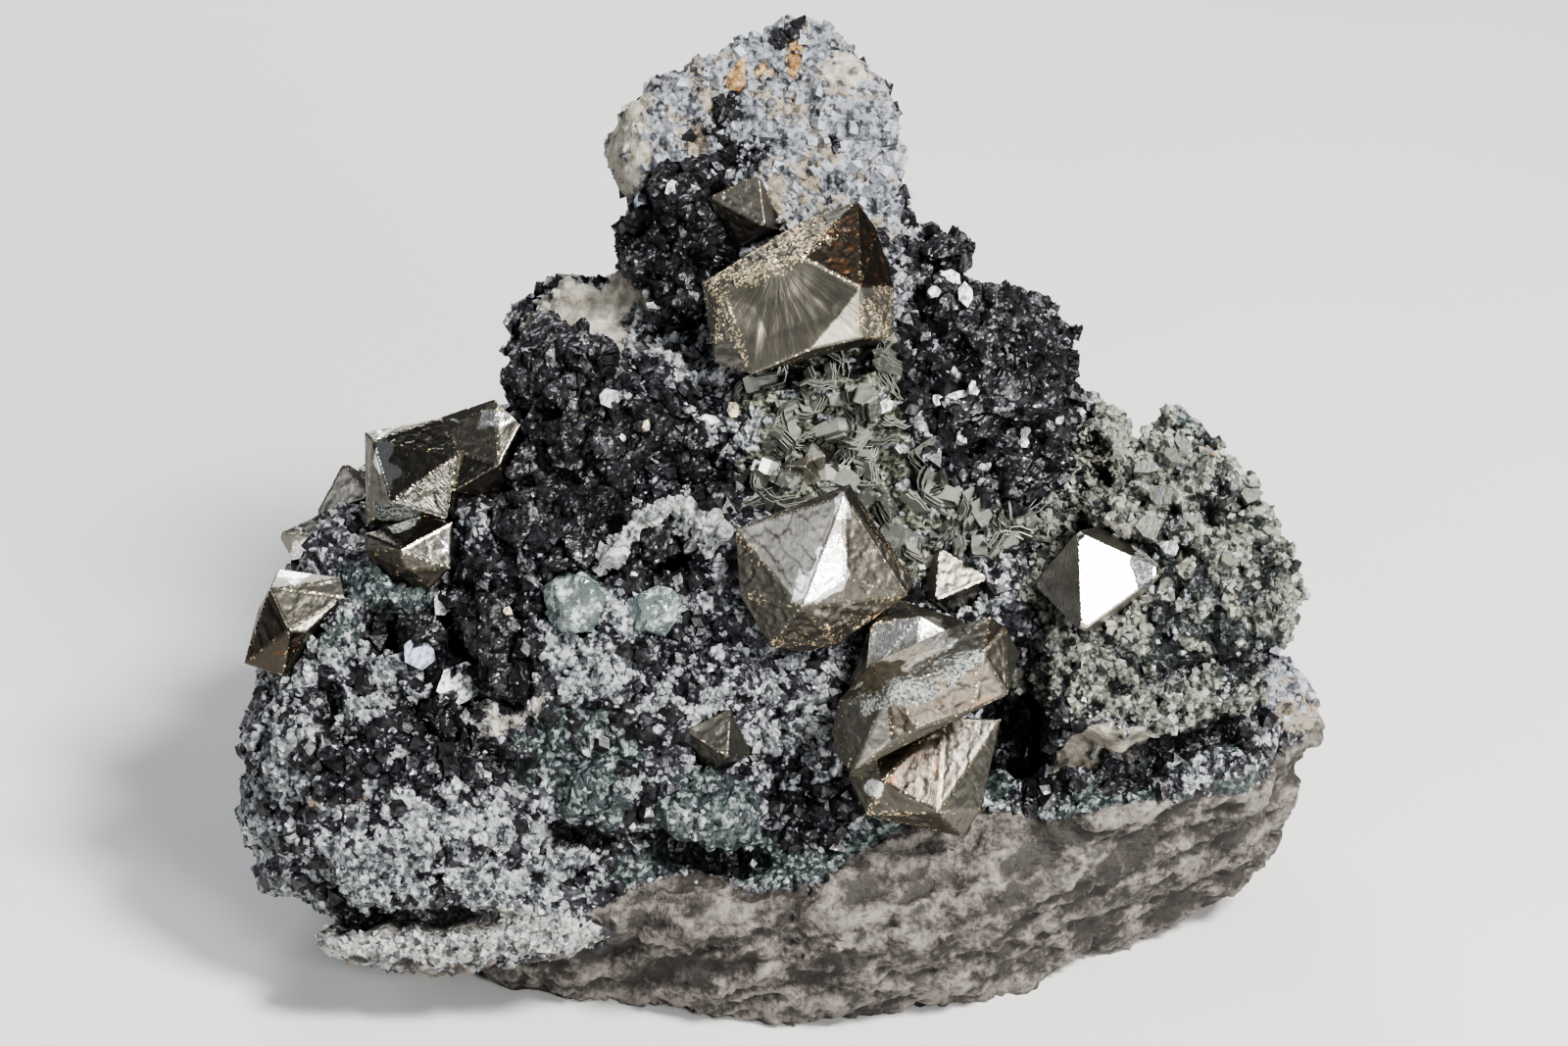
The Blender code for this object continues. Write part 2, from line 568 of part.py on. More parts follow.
def centre_on_origin(objects):
    """Puts the origin on the ground under the middle of the whole specimen."""
    points = [v.co for obj in objects for v in obj.data.vertices]
    low = Vector(min(p[k] for p in points) for k in range(3))
    high = Vector(max(p[k] for p in points) for k in range(3))
    shift = Matrix.Translation((-(low.x + high.x) / 2, -(low.y + high.y) / 2, -low.z))
    for obj in objects:
        obj.data.transform(shift)


def main():
    for obj in list(bpy.data.objects):
        bpy.data.objects.remove(obj, do_unlink=True)
    rock = make_rock()
    away_at = surface_finder(rock)
    settled = []
    for cluster in pyrites() + calcites(away_at) + magnetites(away_at):
        made = cluster.build()
        for earlier, _ in settled:
            earlier.cut_from(made)
        keep_largest(made)
        settled.append((cluster, made))
    for cluster, _ in settled:
        cluster.cut_from(rock, ROCK_SOLVER)
    keep_largest(rock)
    finish(rock, HOST_ROCK)
    centre_on_origin([rock] + [made for _, made in settled])


main()
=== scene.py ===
"""Looks of a hand specimen: octahedral pyrite and black magnetite on a lump of granular host rock."""

import json
import math
import random

import bmesh
import bpy
import numpy as np
from mathutils import Matrix, Vector, noise
from mathutils.bvhtree import BVHTree

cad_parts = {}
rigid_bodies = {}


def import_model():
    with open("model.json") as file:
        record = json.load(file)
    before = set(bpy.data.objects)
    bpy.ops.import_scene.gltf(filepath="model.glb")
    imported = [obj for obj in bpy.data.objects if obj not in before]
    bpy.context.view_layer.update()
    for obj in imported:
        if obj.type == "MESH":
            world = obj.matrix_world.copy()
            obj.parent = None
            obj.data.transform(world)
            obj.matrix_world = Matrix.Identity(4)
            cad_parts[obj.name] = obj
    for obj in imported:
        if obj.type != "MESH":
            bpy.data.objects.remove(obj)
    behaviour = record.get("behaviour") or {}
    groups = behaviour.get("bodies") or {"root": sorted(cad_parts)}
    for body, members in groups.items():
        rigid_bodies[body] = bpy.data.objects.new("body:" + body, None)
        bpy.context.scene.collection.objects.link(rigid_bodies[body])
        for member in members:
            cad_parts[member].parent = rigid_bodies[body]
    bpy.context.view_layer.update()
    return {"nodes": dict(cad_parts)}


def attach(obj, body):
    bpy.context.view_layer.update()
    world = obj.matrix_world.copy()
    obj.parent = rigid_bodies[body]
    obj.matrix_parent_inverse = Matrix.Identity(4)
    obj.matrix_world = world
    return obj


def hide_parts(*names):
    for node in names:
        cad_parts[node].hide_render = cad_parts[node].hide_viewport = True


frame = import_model()

# The view: the specimen is looked at from the front and a little above, from near by with a long lens.
# Places on it are given as that view shows them, in mm from a point inside it: across to the right,
# up the picture, and away from the eye.
MM = 0.001
VIEW_TILT = math.radians(27.0)
VIEW_CENTRE = Vector((0.30, -12.36, 35.0)) * MM
VIEW_REACH = 300.0
LENS_LENGTH = 58.0
SENSOR_WIDTH = 22.3
ACROSS = Vector((1.0, 0.0, 0.0))
UP = Vector((0.0, math.sin(VIEW_TILT), math.cos(VIEW_TILT)))
AWAY = Vector((0.0, math.cos(VIEW_TILT), -math.sin(VIEW_TILT)))


def seen(across, up, away):
    """A place given as the view shows it, in mm, as a point in metres."""
    return VIEW_CENTRE + (ACROSS * across + UP * up + AWAY * away) * MM


camera = bpy.data.objects.new("camera", bpy.data.cameras.new("camera"))
camera.data.lens = LENS_LENGTH
camera.data.sensor_width = SENSOR_WIDTH
camera.data.clip_start = MM
camera.location = seen(0.0, 0.0, -VIEW_REACH)
camera.rotation_euler = (math.pi / 2 - VIEW_TILT, 0.0, 0.0)
bpy.context.collection.objects.link(camera)
bpy.context.scene.camera = camera


# The table and the studio light: a pale matt sheet, one soft key from the upper right, a weak fill
# from the left, a low back light, and a small soft lamp beside the eye that the small right-hand
# octahedron turns one face to.
class Wire:
    """One output of a node. Arithmetic on it adds Math nodes to its tree."""

    def __init__(self, web, made, socket):
        self.web = web
        self.made = made
        self.socket = socket

    def other(self, name):
        """Another output of the same node."""
        return Wire(self.web, self.made, self.made.outputs[name])

    def maths(self, operation, *values):
        return self.web.node("ShaderNodeMath", {"operation": operation}, dict(enumerate(values)))

    def __add__(self, value):
        return self.maths("ADD", self, value)

    def __radd__(self, value):
        return self.maths("ADD", value, self)

    def __sub__(self, value):
        return self.maths("SUBTRACT", self, value)

    def __rsub__(self, value):
        return self.maths("SUBTRACT", value, self)

    def __mul__(self, value):
        return self.maths("MULTIPLY", self, value)

    def __rmul__(self, value):
        return self.maths("MULTIPLY", value, self)

    def between(self, low, high):
        """0 below low, 1 above high and a smooth rise between them."""
        sockets = {"Value": self, "From Min": low, "From Max": high}
        return self.web.node("ShaderNodeMapRange", {"interpolation_type": "SMOOTHSTEP"}, sockets)


class Web:
    """A node tree being made, of a material or of Geometry Nodes."""

    def __init__(self, tree):
        self.tree = tree
        self.tree.nodes.clear()

    def node(self, kind, settings=None, sockets=None, out=0):
        """Adds a node, sets it and then its sockets, and gives its output."""
        made = self.tree.nodes.new(kind)
        for name, value in (settings or {}).items():
            setattr(made, name, value)
        for key, value in (sockets or {}).items():
            self.feed(made.inputs[key], value)
        return Wire(self, made, made.outputs[out]) if made.outputs else None

    def feed(self, socket, value):
        if isinstance(value, Wire):
            self.tree.links.new(value.socket, socket)
        elif socket.type == "RGBA" and len(value) == 3:
            socket.default_value = (*value, 1.0)
        else:
            socket.default_value = value


class Finish(Web):
    """A material being made, for patterns given at their size in mm."""

    def __init__(self, name):
        self.material = bpy.data.materials.new(name)
        self.material.use_nodes = True
        super().__init__(self.material.node_tree)
        self.place = self.node("ShaderNodeTexCoord", out="Object")

    def stretched(self, sizes, turn=(0.0, 0.0, 0.0)):
        """The place, turned and then divided by a size in mm along each axis."""
        turned = self.node(
            "ShaderNodeVectorRotate", {"rotation_type": "EULER_XYZ"}, {0: self.place, "Rotation": turn},
        )
        scale = tuple(1.0 / (size * MM) for size in sizes)
        return self.node("ShaderNodeVectorMath", {"operation": "MULTIPLY"}, {0: turned, 1: scale})

    def cloud(self, size, detail=2.0, rough=0.5, at=None):
        """Soft noise, 0 to 1, its blobs about that size in mm. On a place of its own, size is its scale."""
        place = self.place if at is None else at
        scale = 1.0 / (size * MM) if at is None else size
        sockets = {"Vector": place, "Scale": scale, "Detail": detail, "Roughness": rough}
        return self.node("ShaderNodeTexNoise", {}, sockets)

    def grain(self, size):
        """A different random colour in each cell of that size in mm."""
        sockets = {"Vector": self.place, "Scale": 1.0 / (size * MM)}
        return self.node("ShaderNodeTexVoronoi", {}, sockets, out="Color")

    def attribute(self, name):
        return self.node("ShaderNodeAttribute", {"attribute_name": name}, out="Fac")

    def mixed(self, share, first, second):
        """Two colours mixed."""
        return self.node("ShaderNodeMix", {"data_type": "RGBA"}, {0: share, 6: first, 7: second}, out=2)

    def first_of(self, colour):
        """The red part of a colour, as a number."""
        return self.node("ShaderNodeSeparateColor", {}, {0: colour})

    def bumped(self, height, depth):
        """A normal that leans with a height given as 0 to 1, over that depth in mm."""
        return self.node("ShaderNodeBump", {}, {"Height": height, "Distance": depth * MM})

    def faceted(self, cells, lean, normal=None):
        """A normal that leans a different way in each cell, as the faces of small crystals do."""
        if normal is None:
            normal = self.node("ShaderNodeNewGeometry", out="Normal")
        middled = self.node("ShaderNodeVectorMath", {"operation": "SUBTRACT"}, {0: cells, 1: (0.5, 0.5, 0.5)})
        leaning = self.node("ShaderNodeVectorMath", {"operation": "SCALE"}, {0: middled, "Scale": lean})
        joined = self.node("ShaderNodeVectorMath", {"operation": "ADD"}, {0: normal, 1: leaning})
        return self.node("ShaderNodeVectorMath", {"operation": "NORMALIZE"}, {0: joined})

    def shaded(self, **sockets):
        """Ends the material in one Principled shader with these sockets, an underscore for a space."""
        named = {key.replace("_", " "): value for key, value in sockets.items()}
        shader = self.node("ShaderNodeBsdfPrincipled", {}, named)
        self.node("ShaderNodeOutputMaterial", {}, {"Surface": shader})
        return self.material


def soft_light(name, place, target, size, power, colour):
    """A square lamp at that place, turned to the target."""
    lamp = bpy.data.lights.new(name, "AREA")
    lamp.size = size
    lamp.energy = power
    lamp.color = colour
    made = bpy.data.objects.new(name, lamp)
    made.location = place
    made.rotation_euler = (Vector(target) - Vector(place)).to_track_quat("-Z", "Y").to_euler()
    bpy.context.collection.objects.link(made)


def table_finish():
    table = Finish("table_matt")
    tone = table.mixed(table.cloud(40.0, 3.0), (0.60, 0.60, 0.59), (0.64, 0.64, 0.63))
    return table.shaded(Base_Color=tone, Roughness=0.8)


TABLE_HALF = 4.0
table_mesh = bpy.data.meshes.new("table")
table_corners = [(x * TABLE_HALF, y * TABLE_HALF, 0.0) for x, y in ((-1, -1), (1, -1), (1, 1), (-1, 1))]
table_mesh.from_pydata(table_corners, [], [(0, 1, 2, 3)])
table = bpy.data.objects.new("table", table_mesh)
table.data.materials.append(table_finish())
bpy.context.collection.objects.link(table)

KEY_PLACE = Vector((0.26, -0.20, 0.42))
RIGHT_FACE = seen(23.2, -4.0, -2.0)
FLASH_WAY = ACROSS * 0.383 - UP * 0.05 - AWAY * 0.92
soft_light("key", KEY_PLACE, (0.0, -0.005, 0.03), 0.12, 6.0, (1.0, 0.98, 0.95))
soft_light("fill", (-0.42, -0.17, 0.36), (0.0, 0.0, 0.03), 0.30, 0.75, (0.95, 0.97, 1.0))
soft_light("back", (-0.10, 0.40, 0.30), (0.0, 0.0, 0.03), 0.25, 1.8, (0.95, 0.97, 1.0))
soft_light("flash", RIGHT_FACE + FLASH_WAY * 0.42, RIGHT_FACE, 0.10, 1.6, (1.0, 1.0, 1.0))

world = bpy.data.worlds.new("studio")
world.use_nodes = True
world.node_tree.nodes["Background"].inputs["Color"].default_value = (0.75, 0.79, 0.85, 1.0)
world.node_tree.nodes["Background"].inputs["Strength"].default_value = 0.12
bpy.context.scene.world = world
bpy.context.scene.view_settings.look = "AgX - Medium High Contrast"


# The host rock: one broken lump of magnetite, chlorite and feldspar rock. Its skin is black with tiny
# magnetite in some places, crusted with white sugary druse in others, green with mica, or grey and bare.
# Patches of each are listed for the side that the view shows; behind, they come in a loose mix.
ROCK_CELL = 0.38  # mm
ROCK_KEPT = 0.62  # share of the skin's triangles that are kept, the flattest being joined
LEAST_HEIGHT = 0.02  # mm, the lowest that the rough skin hangs over the table

# Each patch: the kind, its middle across and up in the picture, half sizes, turn in degrees, strength.
ROCK_PATCHES = (
    ("druse", (-1.5, 4.0), (42.0, 40.0), 0, 0.42),
    ("teal", (14.0, -22.5), (22.0, 6.0), 14, 0.9),
    ("top", (-1.2, 31.2), (14.0, 9.4), 0, 1.0),
    ("top", (7.4, 23.6), (1.9, 4.0), 15, 1.0),
    ("top", (24.0, 4.5), (2.0, 4.0), 0, 1.0),
    ("dark", (-4.7, 30.7), (0.9, 0.8), 0, 0.9),
    ("dark", (-5.2, 29.3), (2.2, 0.6), 0, 0.8),
    ("dark", (-4.0, 27.0), (2.8, 1.0), 10, 0.9),
    ("dark", (0.2, 35.6), (0.7, 0.7), 0, 0.8),
    ("dark", (3.4, 28.3), (0.5, 0.5), 0, 0.9),
    ("cream", (-12.3, 26.3), (1.8, 5.0), -20, 1.0),
    ("cream", (4.7, 33.2), (1.9, 1.9), 0, 0.7),
    ("rust", (-3.4, 32.8), (0.9, 1.3), -10, 0.9),
    ("rust", (-1.4, 33.5), (0.7, 0.8), 0, 0.9),
    ("rust", (0.9, 33.9), (0.8, 1.8), -20, 0.9),
    ("rust", (0.2, 31.1), (0.5, 0.6), 0, 1.0),
    ("rust", (3.7, 35.3), (0.5, 0.4), 0, 1.0),
    ("dark", (-7.2, 21.4), (4.2, 5.2), 0, 1.0),
    ("dark", (11.8, 21.2), (3.2, 4.8), 30, 0.8),
    ("cream", (-15.1, 16.2), (5.2, 4.2), 0, 1.0),
    ("druse", (-8.2, 12.6), (3.4, 4.4), 0, 0.75),
    ("dark", (-17.0, 10.8), (3.8, 2.8), 0, 1.0),
    ("dark", (-12.0, 2.6), (8.6, 9.4), 20, 1.0),
    ("green", (4.6, 6.8), (9.6, 7.2), 0, 1.0),
    ("druse", (-4.4, 6.4), (2.6, 2.2), 0, 0.8),
    ("dark", (15.8, 9.6), (7.2, 9.6), 20, 1.0),
    ("green", (13.5, -1.5), (6.0, 3.6), 0, 0.9),
    ("druse", (14.0, -4.0), (4.0, 3.0), -20, 0.75),
    ("dark", (-23.4, -8.6), (6.2, 6.6), 0, 1.0),
    ("teal", (-29.3, -4.6), (3.4, 2.6), 0, 1.0),
    ("teal", (-32.7, -8.8), (2.4, 1.7), 0, 1.0),
    ("druse", (-31.0, -12.2), (5.2, 3.0), -10, 0.85),
    ("druse", (-28.8, -20.6), (12.0, 10.2), 0, 0.62),
    ("dark", (-31.0, -17.6), (6.0, 3.0), 24, 0.75),
    ("dark", (-24.5, -16.6), (5.5, 3.2), 0, 0.6),
    ("druse", (-27.4, -24.6), (5.8, 4.3), 0, 0.85),
    ("druse", (-37.2, -20.0), (2.2, 4.0), 0, 0.85),
    ("druse", (-12.0, -10.5), (6.4, 5.6), 0, 0.85),
    ("dark", (-8.0, -9.6), (3.2, 3.4), 20, 0.75),
    ("dark", (-12.5, -15.5), (3.6, 2.4), -20, 0.7),
    ("cream", (-20.6, -13.0), (2.8, 3.2), -30, 0.55),
    ("teal", (-15.5, -16.8), (5.0, 3.4), 0, 0.8),
    ("druse", (0.6, -14.5), (3.6, 5.5), 0, 0.85),
    ("teal", (-13.9, -20.5), (2.8, 2.5), 0, 1.0),
    ("teal", (-6.0, -21.2), (4.2, 2.8), 0, 1.0),
    ("dark", (1.6, -20.6), (3.2, 3.4), 0, 0.8),
    ("druse", (-17.5, -25.0), (6.0, 3.8), 8, 0.7),
    ("teal", (-8.0, -25.6), (6.0, 1.8), 6, 0.7),
    ("slab", (29.5, -1.6), (12.4, 12.2), 0, 1.0),
    ("slab", (24.2, -11.0), (8.2, 3.2), 10, 1.0),
    ("teal", (32.0, -5.0), (4.2, 1.6), 0, 0.5),
    ("teal", (30.2, 8.4), (1.6, 1.6), 0, 0.7),
    ("cream", (23.0, -16.9), (4.6, 2.0), 18, 1.0),
    ("dark", (17.5, -15.5), (3.0, 3.2), 0, 1.0),
    ("dark", (21.0, -19.4), (5.0, 1.4), 20, 0.8),
    ("teal", (26.0, -20.6), (12.0, 2.8), 18, 0.9),
    ("druse", (31.5, -18.0), (5.2, 1.5), 18, 0.6),
    ("slab", (31.8, -13.0), (5.4, 2.0), 16, 1.0),
    ("top", (38.0, -12.6), (2.4, 3.2), 0, 1.0),
    ("ledge", (-24.2, -30.3), (10.8, 1.9), 3, 1.0),
    ("rust", (-34.3, -20.9), (0.6, 0.8), 0, 1.0),
    ("rust", (-31.2, -19.9), (0.5, 0.6), 0, 1.0),
    ("rust", (-31.0, -8.0), (0.4, 0.4), 0, 1.0),
)
ROCK_KINDS = ("dark", "druse", "green", "teal", "slab", "top", "base", "cream", "ledge", "rust")
# Lumps and hollows of the skin: how far it stands out in mm, then its place as for the patches. The hollows
# also get painted shade.
ROCK_FORMS = (
    (-2.2, (-33.7, -13.0), (1.0, 1.0), 0),
    (-2.2, (-32.4, -15.1), (1.7, 1.0), -10),
    (-2.0, (-29.5, -8.0), (1.1, 1.5), 0),
    (-1.8, (-23.7, -16.0), (5.4, 0.8), -33),
    (-2.8, (-28.4, -29.2), (6.2, 0.8), 0),
    (1.3, (-13.9, -20.3), (2.5, 2.2), 0),
    (1.5, (-6.0, -21.0), (3.9, 2.5), 0),
    (-2.4, (-14.6, -23.2), (2.6, 1.0), -18),
    (-2.4, (-6.4, -24.2), (4.3, 1.1), -12),
    (-2.4, (17.0, -15.5), (2.4, 2.8), 0),
    (-1.6, (1.3, 11.2), (6.0, 0.9), 12),
    (-1.8, (-9.0, -3.0), (2.4, 1.1), 15),
    (1.0, (-27.4, -24.6), (5.4, 4.0), 0),
    (-1.6, (32.4, -10.5), (5.2, 0.5), 12),
    (-2.2, (30.9, -15.7), (4.6, 0.8), 18),
    (-2.0, (25.2, -18.4), (2.6, 0.9), 10),
)


# Noise takes its seed from the clock unless it is given one, and then no two runs agree.
NOISE_SEED = 1
noise.seed_set(NOISE_SEED)


def merged(node):
    """A CAD node's mesh as a bmesh, its loose triangles joined."""
    bm = bmesh.new()
    bm.from_mesh(frame["nodes"][node].data)
    bmesh.ops.remove_doubles(bm, verts=bm.verts, dist=1e-6)
    return bm


def new_piece(name, mesh, *finishes):
    """An object at the origin that shows the mesh in these materials."""
    made = bpy.data.objects.new(name, mesh)
    bpy.context.collection.objects.link(made)
    mesh.materials.clear()
    for finish in finishes:
        mesh.materials.append(finish)
    return made


def applied(piece):
    """Replaces the piece's mesh by what its modifiers make of it."""
    graph = bpy.context.evaluated_depsgraph_get()
    mesh = bpy.data.meshes.new_from_object(piece.evaluated_get(graph))
    piece.modifiers.clear()
    piece.data = mesh
    return piece


def even_skin(name, bm, cell):
    """A piece that shows a closed bmesh as one skin of even cells, that size in mm. The bmesh is freed."""
    mesh = bpy.data.meshes.new(name)
    bm.to_mesh(mesh)
    bm.free()
    piece = new_piece(name, mesh)
    remesh = piece.modifiers.new("even", "REMESH")
    remesh.mode = "VOXEL"
    remesh.voxel_size = cell * MM
    return applied(piece)


def thinned(piece, kept):
    """Joins the piece's flattest faces until that share of its triangles is left."""
    piece.modifiers.new("thin", "DECIMATE").ratio = kept
    return applied(piece)


def points_of(mesh):
    """The mesh's points, in metres, as rows of an array."""
    flat = np.empty(len(mesh.vertices) * 3)
    mesh.vertices.foreach_get("co", flat)
    return flat.reshape(-1, 3)


def place_points(mesh, points):
    """Gives the mesh these points, none of them down on the table."""
    points[:, 2] = np.maximum(points[:, 2], LEAST_HEIGHT * MM)
    mesh.vertices.foreach_set("co", points.ravel())
    mesh.update()


def push_out(mesh, rises):
    """Moves each point of the mesh out by its rise in mm."""
    normals = np.empty(len(mesh.vertices) * 3)
    mesh.vertices.foreach_get("normal", normals)
    place_points(mesh, points_of(mesh) + normals.reshape(-1, 3) * np.asarray(rises)[:, None] * MM)


def picture_places(points):
    """Where the points lie in the picture, across and up in mm, and how far away each is."""
    offsets = (points - np.array(VIEW_CENTRE)) / MM
    across, up, away = (offsets @ np.array(axis) for axis in (ACROSS, UP, AWAY))
    closeness = VIEW_REACH / (VIEW_REACH + away)
    return across * closeness, up * closeness, away


def patch_cover(across, up, middle, half, turn, edge):
    """How far a patch covers each place, 0 to 1, with a soft edge that wide in mm."""
    angle = math.radians(turn)
    along = (across - middle[0]) * math.cos(angle) + (up - middle[1]) * math.sin(angle)
    beside = (up - middle[1]) * math.cos(angle) - (across - middle[0]) * math.sin(angle)
    reach = np.hypot(along / half[0], beside / half[1])
    return np.clip((1.0 - reach) * min(half) / edge + 0.5, 0.0, 1.0)


def noise_rows(points, size, seed):
    """Three noise values, about -1 to 1, for each point."""
    shift = Vector((seed * 7.1, seed * 3.3, seed * 5.7))
    return np.array([noise.noise_vector(Vector(p) / (size * MM) + shift) for p in points])


def smooth_rise(values, low, high):
    share = np.clip((values - low) / (high - low), 0.0, 1.0)
    return share * share * (3.0 - 2.0 * share)


def wandering_places(points, swing):
    """The points' places in the picture, shifted here and there so that no patch has an even edge."""
    across, up, _ = picture_places(points)
    wander = noise_rows(points, 3.2, 1) * swing + noise_rows(points, 1.1, 2) * 0.6
    return across + wander[:, 0], up + wander[:, 1]


def laid_patches(points, patches, kinds, edge):
    """For each kind, how strongly it shows at each point. A later patch covers an earlier one."""
    across, up = wandering_places(points, 1.1)
    shares = {kind: np.zeros(len(points)) for kind in kinds}
    for laid, middle, half, turn, strength in patches:
        cover = patch_cover(across, up, middle, half, turn, edge) * strength
        for kind in kinds:
            shares[kind] *= 1.0 - cover
        shares[laid] += cover
    return shares


def rock_shares(points):
    """How strongly each kind of skin shows at each point of the rock, and what follows from that."""
    shares = laid_patches(points, ROCK_PATCHES, ROCK_KINDS, 1.0)
    away = picture_places(points)[2]
    mix = noise_rows(points, 9.0, 3)
    behind = smooth_rise(away + mix[:, 0] * 4.0, 19.0, 25.0)
    rear = {
        "dark": smooth_rise(mix[:, 0], 0.05, 0.25),
        "druse": smooth_rise(mix[:, 1], -0.15, 0.15) * 0.8,
        "green": smooth_rise(mix[:, 2], 0.05, 0.25) * 0.35 * (points[:, 2] < 30.0 * MM),
        "teal": smooth_rise(mix[:, 2], -0.1, 0.1) * 0.5,
        "slab": smooth_rise(-mix[:, 0], 0.1, 0.3) * 0.7,
    }
    for kind in ROCK_KINDS:
        shares[kind] = shares[kind] * (1.0 - behind) + rear.get(kind, 0.0) * behind
    rim = 9.5 + (0.16 * points[:, 0] + 0.10 * np.abs(points[:, 1])) / MM + mix[:, 1] * 2.0
    below = smooth_rise(rim - points[:, 2] / MM, -0.6, 0.6) * (1.0 - smooth_rise(shares["ledge"], 0.2, 0.5))
    for kind in ROCK_KINDS:
        shares[kind] = shares[kind] * (1.0 - below)
    shares["base"] += below
    clumps = noise_rows(points, 1.9, 4)[:, 0] * 0.55 + noise_rows(points, 0.85, 5)[:, 0] * 0.85
    shares["sugar"] = smooth_rise(clumps + shares["druse"] * 0.62 - 0.38, -0.05, 0.09)
    shares["sugar"] = np.clip(shares["sugar"] * (1.0 - below) + shares["ledge"], 0.0, 1.0)
    bare = 1.0 - shares["sugar"]
    shares["ore"] = np.clip(shares["dark"] + shares["druse"] * 0.55, 0.0, 1.0) * bare
    across, up = wandering_places(points, 0.2)
    shares["form"] = np.zeros(len(points))
    for rise, middle, half, turn in ROCK_FORMS:
        shares["form"] += rise * patch_cover(across, up, middle, half, turn, 0.9) * (1.0 - behind)
    # How deep each point lies in a hollow, 0 to 1; the rock's colour uses it for painted shade.
    shares["deep_hollow_shade"] = np.clip(-shares["form"] / 1.4, 0.0, 1.0)
    gaps = noise_rows(points, 1.3, 6)[:, 0] * 0.6 + noise_rows(points, 4.5, 7)[:, 0] * 0.5
    shares["crumbs"] = shares["slab"] * smooth_rise(gaps, -0.16, 0.02)
    for kind in ("sugar", "ore", "slab", "crumbs", "green"):
        shares[kind] = shares[kind] * (1.0 - shares["deep_hollow_shade"])
    return shares


def tilted_cells(place, size):
    """Relief of a crowd of small leaning facets, each about that size in mm, in units of the size."""
    nearest = noise.voronoi(place / size)[1][0]
    lean = noise.cell_vector(nearest * 37.0) * 2.0 - Vector((1.0, 1.0, 1.0))
    return (place / size - nearest).dot(lean)


def base_ridge(place):
    """Long uneven ridges that climb to the right round the worn base: 0 in the hollows, about 1 on top."""
    bed = Vector((place.x / 11.0, place.y / 11.0, (place.z - 0.24 * place.x) / 3.4))
    swell = noise.noise(bed) + 0.6 * noise.noise(bed * 2.9) + 0.4 * noise.noise(bed * 7.0)
    return 1.0 - min(1.0, 1.6 * abs(swell))


def rock_relief(place, share):
    """How far the rock's skin stands out at a place in mm, given the kinds that show there."""
    swell = noise.noise(place / 2.4)
    coarse, fine = tilted_cells(place, 1.7), tilted_cells(place, 0.7)
    rise = 0.08 + 0.25 * swell + share["form"]
    rise += (share["dark"] + 0.5 * share["druse"]) * (0.9 * coarse + 0.35 * fine)
    rise += share["sugar"] * (0.28 + 0.30 * fine) + share["top"] * (0.50 * coarse + 0.35 * fine)
    rise += share["green"] * (0.8 * coarse + 0.3 * fine) + share["teal"] * (0.5 * coarse + 0.35 * fine)
    if share["slab"] > 0.05:
        pits = max(0.0, noise.noise(place / 1.2 + Vector((9.0, 2.0, 4.0))) - 0.12)
        rise += share["slab"] * (0.40 * fine + 0.35 * coarse - 1.8 * pits - 0.35) + 0.45 * share["crumbs"]
    if share["base"] > 0.05:
        rise += share["base"] * (0.7 * base_ridge(place) - 0.2 + 0.30 * fine + 0.30 * coarse)
    return rise


def store(mesh, name, values):
    """Keeps one number for each point on the mesh."""
    kept = mesh.attributes.new(name, "FLOAT", "POINT")
    kept.data.foreach_set("value", np.asarray(values, dtype=np.float32))


def make_rock():
    rock = even_skin("host_rock_skin", merged("host_rock"), ROCK_CELL)
    mesh = rock.data
    points = points_of(mesh)
    shares = rock_shares(points)
    rises = [
        rock_relief(Vector(point) / MM, {kind: values[i] for kind, values in shares.items()})
        for i, point in enumerate(points)
    ]
    push_out(mesh, rises)
    shares["ridge"] = [base_ridge(Vector(point) / MM) for point in points]
    for kind, values in shares.items():
        store(mesh, kind, values)
    soft = shares["base"] > 0.5
    smooth = [all(soft[v] for v in polygon.vertices) for polygon in mesh.polygons]
    mesh.polygons.foreach_set("use_smooth", smooth)
    thinned(rock, ROCK_KEPT)
    place_points(rock.data, points_of(rock.data))
    return rock


